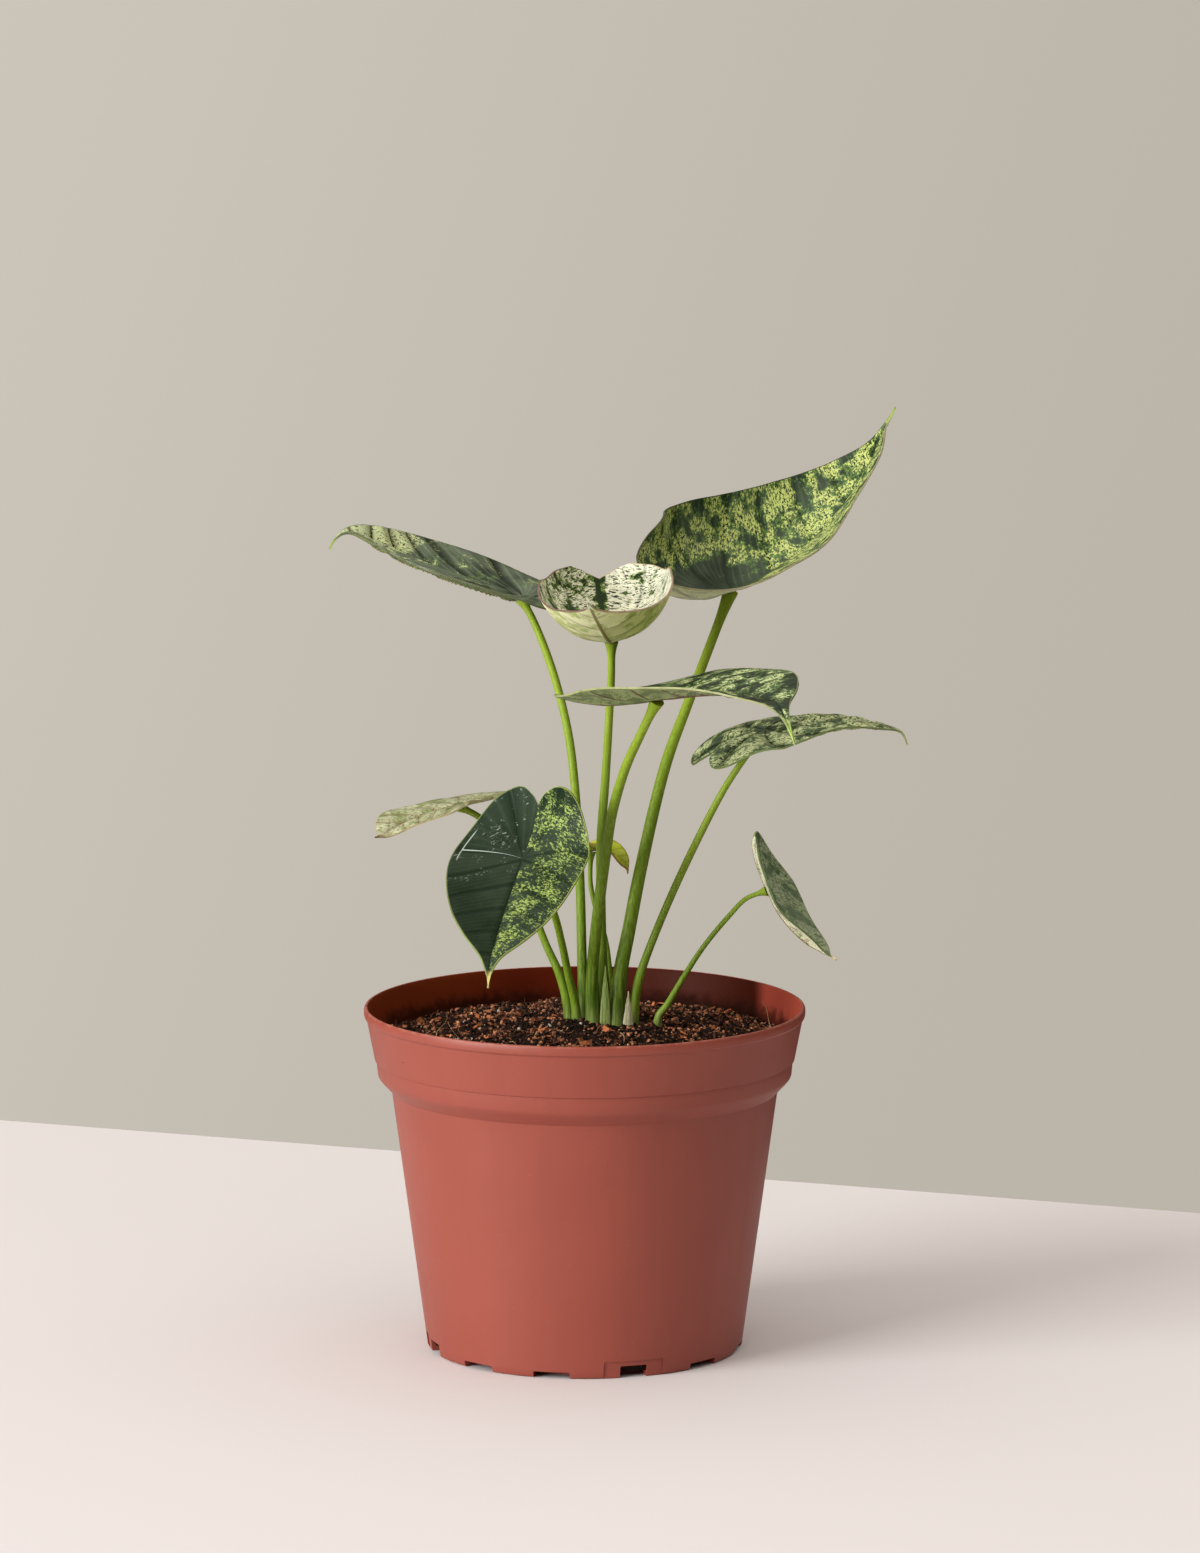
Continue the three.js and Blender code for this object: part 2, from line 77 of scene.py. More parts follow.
# The wall as (radius, height) points in mm: the outside from the foot up, and then the inside
# down again. The small steps between them round its corners.
outer_wall = [
    (base_radius - 1, 0), (base_radius - 0.3, 0.3), (body_radius(1), 1), (body_radius(3), 3),
    (body_radius(10), 10), *[(body_radius(z), z) for z in range(18, 85, 8)],
    (body_radius(87), 87), (body_top[0] + 0.1, body_top[1]),
    (body_top[0] + 0.9, body_top[1] + 0.9), (collar_foot[0] - 1.2, collar_foot[1] - 1.6),
    (collar_foot[0] - 0.2, collar_foot[1] - 0.4), (collar_foot[0] + 0.1, collar_foot[1] + 0.4),
    (collar_line[0] - 0.55, collar_line[1] - 0.2), (collar_line[0], collar_line[1] + 0.1),
    (collar_line[0] + 0.1, collar_line[1] + 0.5), (rim_radius - lip_step - 0.4, lip_foot - 2),
    (rim_radius - lip_step, lip_foot - 0.2), (rim_radius - 0.15, lip_foot + 0.5),
    (rim_radius, lip_foot + 1.3), (rim_radius, pot_height - 0.9),
    (rim_radius - 0.25, pot_height - 0.25), (rim_radius - 0.7, pot_height),
]
inner_wall = [
    (rim_radius - 1.1, pot_height - 0.1), (rim_radius - pot_wall, pot_height - 0.6),
    (rim_radius - pot_wall - 0.4, lip_foot + 0.6),
    (rim_radius - pot_wall - lip_step, lip_foot - 0.6),
    (collar_line[0] - pot_wall, collar_line[1]), (collar_foot[0] - pot_wall, collar_foot[1]),
    (body_top[0] - pot_wall + 0.6, body_top[1] + 0.6), (body_top[0] - pot_wall, body_top[1]),
    (body_radius(40) - pot_wall, 40), (body_radius(3) - pot_wall, 3),
    (body_radius(pot_floor) - pot_wall - 0.8, pot_floor),
]


def select_nothing():
    bpy.ops.object.select_all(action="DESELECT")


def only(obj):
    """Leaves one object active and selected, and nothing else."""
    select_nothing()
    obj.select_set(True)
    bpy.context.view_layer.objects.active = obj


def face_outward(obj):
    only(obj)
    bpy.ops.object.mode_set(mode="EDIT")
    bpy.ops.mesh.select_all(action="SELECT")
    bpy.ops.mesh.normals_make_consistent(inside=False)
    bpy.ops.object.mode_set(mode="OBJECT")
    return obj


def turned(name, profile, sides):
    """Draws a disc up and in or out along (radius, height) points in mm, as on a wheel."""
    select_nothing()
    radius, height = profile[0]
    bpy.ops.mesh.primitive_circle_add(
        vertices=sides, radius=radius * MM, fill_type="NGON", location=(0, 0, height * MM))
    obj = bpy.context.object
    obj.name = obj.data.name = name
    bpy.ops.object.transform_apply(location=True, rotation=True, scale=True)
    bpy.ops.object.mode_set(mode="EDIT")
    for next_radius, next_height in profile[1:]:
        rise = (0, 0, (next_height - height) * MM)
        bpy.ops.mesh.extrude_region_move(TRANSFORM_OT_translate={"value": rise})
        grow = next_radius / radius
        bpy.ops.transform.resize(value=(grow, grow, 1), center_override=(0, 0, next_height * MM))
        radius, height = next_radius, next_height
    bpy.ops.mesh.select_all(action="DESELECT")
    bpy.ops.mesh.select_non_manifold(extend=False)
    bpy.ops.mesh.edge_face_add()
    bpy.ops.object.mode_set(mode="OBJECT")
    return face_outward(obj)


def worked(obj, kind, **settings):
    """Gives a piece a modifier of this kind, and applies it."""
    only(obj)
    modifier = obj.modifiers.new(kind, kind)
    for name, value in settings.items():
        setattr(modifier, name, value)
    bpy.ops.object.modifier_apply(modifier=modifier.name)


def cut_away(obj, cutter):
    """Takes a cutter's shape out of a piece, and the cutter away."""
    worked(obj, "BOOLEAN", operation="DIFFERENCE", solver="MANIFOLD", object=cutter)
    bpy.data.objects.remove(cutter, do_unlink=True)


def corner_cutters(size, angles, name):
    """Boxes that reach into the pot's bottom corner, at angles from the front towards +X."""
    width, height = size
    boxes = []
    for angle in angles:
        turn = radians(angle) - pi / 2
        at = base_radius * MM
        select_nothing()
        bpy.ops.mesh.primitive_cube_add(
            size=1, location=(at * cos(turn), at * sin(turn), 0), rotation=(0, 0, turn),
            scale=(2 * cutter_reach * MM, width * MM, 2 * height * MM))
        box = bpy.context.object
        bpy.ops.object.transform_apply(location=True, rotation=True, scale=True)
        worked(box, "BEVEL", width=0.5 * MM, segments=2)
        boxes.append(box)
    for box in boxes:
        box.select_set(True)
    bpy.ops.object.join()
    bpy.context.object.name = name
    return face_outward(bpy.context.object)


pot = turned("nursery_pot", outer_wall + inner_wall, pot_sides)
panel_face = turned("panel_face", [
    (body_radius(-12) - panel_depth, -12), (body_radius(12) - panel_depth, 12)], pot_sides)
tall_angles = [notch_turn + k * 90 for k in range(4)]
low_angles = [notch_turn + k * 360 / notch_count for k in range(notch_count) if k % 3]
panels = corner_cutters(panel_size, tall_angles, "panels")
cut_away(panels, panel_face)
cut_away(pot, panels)
cut_away(pot, corner_cutters(tall_notch_size, tall_angles, "tall_notches"))
cut_away(pot, corner_cutters(notch_size, low_angles, "low_notches"))
only(pot)
bpy.ops.object.shade_smooth_by_angle(angle=radians(28))


def paint(red, green, blue):
    """A colour read off as 0 to 255, in the linear light that the renderer works in."""
    def linear(value):
        share = value / 255
        return share / 12.92 if share <= 0.04045 else ((share + 0.055) / 1.055) ** 2.4
    return (linear(red), linear(green), linear(blue), 1)


class Wire:
    """An output in a material's node tree. Sums on wires add Math nodes."""

    def __init__(self, tree, socket=None):
        self.tree = tree
        self.socket = socket

    def node(self, kind, settings=None, inputs=None, output=0):
        made = self.tree.nodes.new(kind)
        for name, value in (settings or {}).items():
            setattr(made, name, value)
        for name, value in (inputs or {}).items():
            if isinstance(value, Wire):
                self.tree.links.new(value.socket, made.inputs[name])
            else:
                made.inputs[name].default_value = value
        return Wire(self.tree, made.outputs[output])

    def math(self, operation, *values):
        return self.node("ShaderNodeMath", {"operation": operation}, dict(enumerate(values)))

    def __add__(self, other):
        return self.math("ADD", self, other)

    __radd__ = __add__

    def __sub__(self, other):
        return self.math("SUBTRACT", self, other)

    def __rsub__(self, other):
        return self.math("SUBTRACT", other, self)

    def __mul__(self, other):
        return self.math("MULTIPLY", self, other)

    __rmul__ = __mul__

    def __abs__(self):
        return self.math("ABSOLUTE", self)

    def ease(self, low, high):
        """0 below low and 1 above high, with a soft step between; falls where low is higher."""
        return self.node("ShaderNodeMapRange", {"interpolation_type": "SMOOTHSTEP"}, {
            "Value": self, "From Min": low, "From Max": high, "To Min": 0.0, "To Max": 1.0})

    def blend(self, first, second):
        """Mixes two colours, with this wire as the share of the second."""
        return self.node("ShaderNodeMix", {"data_type": "RGBA"}, {0: self, 6: first, 7: second}, 2)

    def grain(self, scale, detail=3, rough=0.55, twist=0):
        """Noise at this place; scale is the number of grains in a unit of the place."""
        return self.node("ShaderNodeTexNoise", {}, {
            "Vector": self, "Scale": scale, "Detail": detail, "Roughness": rough,
            "Distortion": twist})

    def part(self, axis):
        """One coordinate of this place or direction: 0, 1 or 2 for x, y or z."""
        return self.node("ShaderNodeSeparateXYZ", {}, {0: self}, axis)

    def stored(self, name, output=2):
        """A number kept with each point of the mesh, or with output 1 a place."""
        return self.node("ShaderNodeAttribute", {"attribute_name": name}, output=output)

    def stretch(self, x, y, z, shift=(0, 0, 0)):
        return self.node("ShaderNodeMapping", {}, {
            "Vector": self, "Scale": (x, y, z), "Location": shift})

    def bump(self, height, strength):
        """A Normal for relief of this height in metres."""
        return self.node("ShaderNodeBump", {}, {
            "Height": height, "Strength": strength, "Distance": 1.0})


def new_finish(name):
    """A material, its shader, a wire to build its nodes from, and the place in metres."""
    material = bpy.data.materials.new(name)
    material.use_nodes = True
    tree = material.node_tree
    base = Wire(tree)
    place = base.node("ShaderNodeTexCoord", output=3)
    return material, tree.nodes["Principled BSDF"], base, place


def feed(shader, **values):
    """Gives wires or constants to the shader's sockets, named with underscores for spaces."""
    for name, value in values.items():
        socket = shader.inputs[name.replace("_", " ")]
        if isinstance(value, Wire):
            value.tree.links.new(value.socket, socket)
        else:
            socket.default_value = value


def layered(colour, *layers):
    """Lays colours over the first one in turn, each by its own share."""
    for share, over in layers:
        colour = share.blend(colour, over)
    return colour


def pot_plastic(inner):
    side = "inner" if inner else "outer"
    material, shader, base, place = new_finish(f"terracotta_polypropylene_{side}")
    height = place.part(2)
    clouds = place.grain(18)
    streaks = place.stretch(90, 90, 6).grain(1, 4)
    rough = 0.44 + streaks * 0.1
    if inner:
        # The inner wall carries painted light and shade: a lit patch at the right, and shade over
        # the rest, lighter at the far left. Soil dust darkens its lower part near the soil.
        soiled = (height + place.grain(220, 4) * 0.009).ease(0.1165, 0.1105)
        across = place.part(0)
        painted_wall_shading = layered(paint(138, 57, 26), (across.ease(-0.06, -0.02), paint(84, 26, 9)),
                      (across.ease(-0.02, 0.03), paint(66, 21, 7)))
        darkening = (across + clouds * 0.01).ease(0.0675, 0.0625)
        colour = layered(paint(172, 76, 59), (darkening, painted_wall_shading), (soiled * 0.8, paint(30, 13, 7)))
        rough = rough + soiled * 0.3
    else:
        # The top of the lip is lighter in patches.
        lighter_lip_top = height.ease(0.1166, 0.1174) * place.grain(260).ease(0.35, 0.7)
        specks = place.grain(900, 2).ease(0.7, 0.78)
        colour = layered(
            paint(141, 65, 50), (clouds.ease(0.3, 0.7), paint(147, 69, 54)),
            (streaks.ease(0.45, 0.75) * 0.3, paint(134, 60, 46)),
            (lighter_lip_top * 0.4, paint(196, 134, 114)), (specks * 0.2, paint(188, 124, 104)))
    peel = place.grain(1400, 2) * 0.00004 + place.grain(60, 2) * 0.00025
    feed(shader, Base_Color=colour, Normal=base.bump(peel, 0.6), Roughness=rough,
         Specular_IOR_Level=0.05 if inner else 0.45)
    return material


pot.data.materials.clear()
for finish in (pot_plastic(False), pot_plastic(True)):
    pot.data.materials.append(finish)
for face in pot.data.polygons:
    away = Vector((face.center.x, face.center.y, 0))
    above_floor = face.center.z > (pot_floor - 0.1) * MM
    below_lip = face.center.z < (pot_height - 0.3) * MM
    on_wall = (face.normal.dot(away.normalized()) < -0.3
               and away.length > (base_radius - 4) * MM)
    on_floor = face.normal.z > 0.9 and away.length < 60 * MM
    if above_floor and below_lip and (on_wall or on_floor):
        face.material_index = 1
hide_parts("pot")
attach(pot, "root")


# Leaf stalks
# Each leaf is one growth. A round, fleshy stalk rises from the crown, thickest at its foot, and
# meets the blade from beneath at its seat, inside the margin.

# The nine leaves' own sizes, in mm and degrees. seat: where stalk and blade meet. heading, pitch
# and roll: how the blade points and tilts there. length, width, lobes: of the flat blade ahead
# of the seat, across, and behind it. notch: how far back its notch starts. folds: of its right
# and left half at the lobes, the seat and the tip. curl: what each half turns up beyond that.
# arch, tip_curl, lobe_lift, sweep, twist: how the midrib bends. wave: of the margin. stalk:
# places that it passes. radii: at its foot and top.
leaves = [
    dict(name="tall_left", seat=(-21.5, 42, 251.5), heading=179, pitch=12, roll=3, length=73,
         width=63, lobes=21, folds=((8, 0), (4, 9), (21, 19)), curl=(0, 0), arch=21, tip_curl=-99,
         lobe_lift=14, sweep=-4, twist=4, wave=0.5, stalk=[(-0.5, 1.5, 115), (-1, 3.5, 136),
         (-1.5, 7, 156), (-3, 15, 186), (-5.5, 22, 207), (-10.5, 30, 226.5), (-17, 37.5, 243)],
         radii=(1.8, 1.3)),
    dict(name="tall_middle", seat=(9, -8, 243.5), heading=-91, pitch=5, roll=-3, length=62,
         width=70, lobes=53, notch=-0.95, folds=((15, 9), (0, 6), (-3, -5)), curl=(86, 86), arch=30,
         tip_curl=-4, lobe_lift=69, sweep=-14, twist=2, wave=0.5, stalk=[(7, 0.5, 116), (6, 0, 133),
         (5.5, -0.5, 154), (5.5, -2, 174.5), (7, -3.5, 195.5), (8.5, -5.5, 221.5), (9, -6.8, 232)],
         radii=(1.9, 1.3)),
    dict(name="tall_right", seat=(50, 50, 253), heading=38, pitch=11, roll=7, length=98, width=82,
         lobes=39, folds=((11, 11), (9, 12), (9, 12)), curl=(9, 88), arch=56, tip_curl=-8,
         lobe_lift=59, sweep=1, twist=18, wave=1.1, stalk=[(10.5, -3.5, 114), (12, -2.5, 128.5),
         (15, 0, 143.5), (19, 5, 163.5), (27.5, 16.5, 197.5), (35, 25, 217), (41, 33.5, 231.5)],
         radii=(2.8, 1.6)),
    dict(name="middle", seat=(24, -46, 229), heading=-51, pitch=13, roll=-2, length=96, width=58,
         lobes=39, folds=((17, -3), (8, 13), (0, 17)), curl=(11, -1), arch=-15, tip_curl=-64,
         lobe_lift=25, sweep=-25, twist=4, wave=0.7, stalk=[(3, -5, 114), (2.5, -6, 127.5),
         (3.5, -8.5, 141.5), (7, -17, 172), (9.5, -24, 188.5), (14, -33, 205), (18.5, -39.5, 216)],
         radii=(2.3, 1.5)),
    dict(name="right", seat=(61, -5, 213), heading=13, pitch=12, roll=-3, length=52, width=46,
         lobes=26, folds=((-6, -16), (-12, -4), (5, -9)), curl=(16, 0), arch=-28, tip_curl=-59,
         lobe_lift=-31, sweep=-18, twist=0, wave=0.5, stalk=[(16.5, -1.5, 114.5), (18, -1.5, 125),
         (20.5, -2, 133.5), (31, -2.5, 159.5), (46, -4, 190.5), (52.5, -4.5, 201)],
         radii=(1.7, 1.1)),
    dict(name="front_left", seat=(-20.5, -40, 174.5), heading=-104, pitch=-27, roll=-5, length=71,
         width=47, lobes=30, folds=((17, 21), (7, 3), (19, 19)), curl=(8, -2), arch=8, tip_curl=-55,
         lobe_lift=54, sweep=8, twist=11, wave=0.6, stalk=[(-3, -5, 117), (-5.5, -8.5, 129.5),
         (-7.5, -13.5, 140.5), (-10, -20.5, 152), (-14, -29.5, 164)], radii=(1.4, 1.2)),
    dict(name="low_left", seat=(-43, 12, 184.5), heading=194, pitch=-8, roll=7, length=37, width=34,
         lobes=15, folds=((11, 8), (3, 10), (9, 10)), curl=(-26, 12), arch=-14, tip_curl=31,
         lobe_lift=10, sweep=47, twist=2, wave=0.6, stalk=[(-5.5, -1, 115.5), (-8.5, -0.5, 128),
         (-13, 1, 138), (-18.5, 3.5, 151.5), (-27, 7.5, 169.5), (-34.5, 10.5, 179.5)],
         radii=(1.5, 1.1)),
    dict(name="low_right", seat=(61.5, -14, 159.5), heading=-33, pitch=-61, roll=22, length=37,
         width=34, lobes=20, folds=((19, 13), (18, 17), (21, 15)), curl=(-11, 9), arch=53,
         tip_curl=-6, lobe_lift=30, sweep=-8, twist=1, wave=0.5, stalk=[(25, -4, 114),
         (28, -4.5, 118.5), (34, -5.5, 129), (40.5, -8, 139.5), (49, -11, 150.5),
         (54.5, -13, 156.5)], radii=(1.1, 0.8)),
    dict(name="young", seat=(2, 16, 168), heading=-5, pitch=15, roll=10, length=17, width=11,
         lobes=4, folds=((25, 25), (25, 25), (25, 25)), curl=(15, 15), arch=-90, tip_curl=-20,
         lobe_lift=0, sweep=0, twist=-80, wave=0.2, stalk=[(9, 6, 114.5), (8.5, 7, 126.5),
         (7, 9.5, 138.5), (4, 12, 148), (2, 14, 157)], radii=(1.1, 0.8)),
]
tip_curl_start = 0.8
lobe_ease = 0.3
midrib_steps = 240
blade_thickness = 0.6
rooted_at = 92
swell_share = 0.3
swell_from = 112
swell_height = 26
taper_to = 0.87
flare = 1.1
flare_from = 0.93
seat_reach = 6
seat_cover = 0.15
thick_foot = 1.75


def soft_step(value, low, high):
    """0 below low and 1 above high, with a soft step between."""
    share = np.clip((value - low) / (high - low), 0, 1)
    return share * share * (3 - 2 * share)


def midrib_turn(leaf, v):
    """Ways that the blade runs, spreads and faces at v, from -1 at the lobes to 1 at the tip."""
    ahead = np.clip(v, 0, 1)
    behind = np.where(v < -lobe_ease, v + lobe_ease / 2, -np.minimum(v, 0) ** 2 / (2 * lobe_ease))
    pitch = np.radians(
        leaf["pitch"] + leaf["arch"] * ahead + leaf["lobe_lift"] * behind
        + leaf["tip_curl"] * soft_step(ahead, tip_curl_start, 1))
    heading = np.radians(leaf["heading"] + leaf["sweep"] * v)
    roll = np.radians(leaf["roll"] + leaf["twist"] * v)[:, None]
    along = np.stack([np.cos(pitch) * np.cos(heading), np.cos(pitch) * np.sin(heading),
                      np.sin(pitch)], 1)
    level = np.stack([np.sin(heading), -np.cos(heading), 0 * v], 1)
    over = np.cross(level, along)
    side = level * np.cos(roll) + over * np.sin(roll)
    up = over * np.cos(roll) - level * np.sin(roll)
    return along, side, up


def bent(leaf, x, y):
    """Takes flat blade points (x to the right, y to the tip, mm) to their places in the air."""
    step = (leaf["length"] + leaf["lobes"]) / midrib_steps
    middles = (np.arange(midrib_steps) + 0.5) * step - leaf["lobes"]
    along = midrib_turn(leaf, np.where(middles >= 0, middles / leaf["length"],
                                       middles / leaf["lobes"]))[0]
    line = np.concatenate([np.zeros((1, 3)), np.cumsum(along * step, 0)])
    ticks = np.arange(midrib_steps + 1) * step - leaf["lobes"]
    at = np.stack([np.interp(y, ticks, line[:, k]) - np.interp(0, ticks, line[:, k])
                   for k in range(3)], 1)
    v = np.where(y >= 0, y / leaf["length"], y / leaf["lobes"])
    right = x >= 0
    behind, middle, ahead = [np.where(right, *fold) for fold in leaf["folds"]]
    ends = np.where(v >= 0, ahead, behind)
    lift = np.radians(middle + (ends - middle) * np.clip(np.abs(v), 0, 1))
    curl = np.radians(np.where(right, *leaf["curl"])) / (leaf["width"] / 2)
    curl = np.where(np.abs(curl) < 1e-5, 1e-5, curl)
    reach = (np.sin(lift + curl * np.abs(x)) - np.sin(lift)) / curl
    rise = (np.cos(lift) - np.cos(lift + curl * np.abs(x))) / curl
    _, side, up = midrib_turn(leaf, v)
    return (np.array(leaf["seat"]) + at + side * np.where(right, reach, -reach)[:, None]
            + up * rise[:, None])


def facing(leaf, x, y):
    """Way that the bent blade's upper side faces."""
    d = 0.4
    across = bent(leaf, x + d, y) - bent(leaf, x - d, y)
    along = bent(leaf, x, y + d) - bent(leaf, x, y - d)
    way = np.cross(across, along)
    return way / np.linalg.norm(way, axis=1)[:, None]


def smooth_line(knots, bits):
    """Points of an even, unforced curve through the knots."""
    knots = [Vector(k) for k in knots]
    knots = [2 * knots[0] - knots[1]] + knots + [2 * knots[-1] - knots[-2]]
    line = []
    for a, b, c, d in zip(knots, knots[1:], knots[2:], knots[3:]):
        before, within, after = [(q - p).length ** 0.5 for p, q in ((a, b), (b, c), (c, d))]
        start = ((b - a) / before - (c - a) / (before + within) + (c - b) / within) * within
        end = ((c - b) / within - (d - b) / (within + after) + (d - c) / after) * within
        for k in range(bits):
            t = k / bits
            line.append((2 * t ** 3 - 3 * t ** 2 + 1) * b + (t ** 3 - 2 * t ** 2 + t) * start
                        + (3 * t ** 2 - 2 * t ** 3) * c + (t ** 3 - t ** 2) * end)
    return line + [knots[-2]]


def put_in_scene(name, data):
    obj = bpy.data.objects.new(name, data)
    bpy.context.collection.objects.link(obj)
    return obj


def stalk_piece(leaf):
    """A tube along the stalk's middle line, swollen at its foot and flared under the blade."""
    seat = np.zeros(1)
    top = Vector(leaf["seat"]) - Vector(facing(leaf, seat, seat)[0]) * (blade_thickness / 2)
    root = (*leaf["stalk"][0][:2], rooted_at)
    line = smooth_line([root, *leaf["stalk"], top], 12)
    curve = bpy.data.curves.new(f"stalk_{leaf['name']}_line", "CURVE")
    curve.dimensions = "3D"
    curve.bevel_depth = MM
    curve.bevel_resolution = 5
    curve.use_fill_caps = True
    spline = curve.splines.new("POLY")
    spline.points.add(len(line) - 1)
    foot, tip = leaf["radii"]
    for k, (point, place) in enumerate(zip(spline.points, line)):
        share = k / (len(line) - 1)
        above_foot = min(1, max(0, (place.z - swell_from) / swell_height))
        swell = swell_share * foot * (1 - above_foot) ** 2
        spread = flare * max(0, (share - flare_from) / (1 - flare_from)) ** 2
        ripple = 0.035 * noise.noise(Vector((share * 9, foot * 7, tip * 5)))
        thick = foot + (tip - foot) * min(1, share / taper_to)
        point.co = (*(place * MM), 1)
        point.radius = thick * (1 + ripple) + swell + spread
    only(put_in_scene(f"stalk_of_{leaf['name']}", curve))
    bpy.ops.object.convert(target="MESH")
    bpy.ops.object.shade_smooth()
    stalk = bpy.context.object
    up = Vector(facing(leaf, seat, seat)[0])
    for vertex in stalk.data.vertices:
        off = vertex.co / MM - Vector(leaf["seat"])
        if off.length < seat_reach and off.dot(up) > -seat_cover:
            vertex.co -= up * (off.dot(up) + seat_cover) * MM
    return stalk


def stalk_skin(name, greens_up_to):
    """Deep green at the foot, and bright yellow-green above the given height in metres."""
    material, shader, base, place = new_finish(name)
    height = place.part(2)
    clouds = place.stretch(60, 60, 22).grain(1)
    streaks = place.stretch(1500, 1500, 90).grain(1)
    flecks = place.stretch(2000, 2000, 420).grain(1, 2).ease(0.60, 0.70)
    level = height + clouds * 0.03
    pale_foot = height.ease(0.122, 0.1105) * 0.3
    colour = layered(
        paint(58, 82, 15), (level.ease(0.125, greens_up_to - 0.02), paint(108, 136, 29)),
        (level.ease(greens_up_to - 0.01, greens_up_to + 0.06), paint(138, 162, 40)),
        (streaks.ease(0.42, 0.62) * 0.3, paint(160, 184, 82)),
        (flecks * 0.14, paint(60, 90, 20)), (pale_foot, paint(150, 158, 96)))
    ridges = streaks * 0.00007 + clouds * 0.0002
    feed(shader, Base_Color=colour, Normal=base.bump(ridges, 0.5),
         Roughness=0.34 + clouds * 0.16, Specular_IOR_Level=0.18)
    return material


thick_stalk_skin = stalk_skin("thick_stalk_skin", 0.19)
thin_stalk_skin = stalk_skin("thin_stalk_skin", 0.155)
for leaf in leaves:
    stalk = stalk_piece(leaf)
    stalk.data.materials.append(
        thick_stalk_skin if leaf["radii"][0] > thick_foot else thin_stalk_skin)
    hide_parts(f"stalk_{leaf['name']}")
    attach(stalk, "root")


# Leaf blades
# Thick shield-shaped blades, joined to their stalks inside the margin. Each is pleated: it
# bulges between its side veins, and is creased along them. The mint form is blotched where
# cells lack green, more on one half than on the other, in patches drawn out along the veins.

# The right half of the flat margin, from the notch round the lobe to the tip, in half widths
# across, in lengths ahead of the seat and in lobe lengths behind it.
outline_knots = [
    (0.00, -0.80), (0.13, -0.93), (0.34, -1.00), (0.68, -0.80), (0.91, -0.38), (1.00, 0.04),
    (0.93, 0.29), (0.72, 0.53), (0.40, 0.745), (0.13, 0.87), (0.035, 0.935), (0.00, 1.00)]
notch_at = outline_knots[0][1]
notch_shoulder = 0.35
edge_waves = 3.5
side_ribs = 5
rib_sweep = 0.35
lobe_rib_turn = 50
crowding = 1.3
groove_depth = 0.45
groove_width = 1.1

# How each leaf is coloured and pleated, where it isn't as usual. mint: how far the pale colour
# goes on the right and left half, where 0 is half of it, near the seat and then near the tip.
# seat_green and sinus_green: mm of plain green round the seat and in the notch. scatter: how
# softly mint and green meet. gap: the smaller, the more dark gaps in the mint. streak: the
# smaller, the longer its flecks. relief: height of the bulges in mm. crease_shade: how much the
# side veins are darkened, as painted shade in their creases. bloom_and_sheen: how much the
# bulges between them are greyed, as a waxy bloom and a painted sheen. lean: degrees between
# midrib and side veins. rib_bow: mm that the midrib bows to the right. left_lobe: how much
# fuller that lobe is. edges: colours of the right and left margin. tip: its colour, which starts
# at tip_from. tip_reach: mm that it is drawn out. under, fleck and rib: the underside, its
# flecks and its ribs. paler: how much fewer flecks. rib_width and side_rib: of the ribs beneath.
usual = dict(
    lean=60, rib_bow=0, scatter=0.05, gap=0.05, streak=0.75, sinus_green=0, left_lobe=0,
    tip_from=0.93, tip_reach=(0, 0, 0), crease_shade=0, bloom_and_sheen=0, rib=(122, 96, 62), rib_width=1.3,
    side_rib=0.5, paler=0)
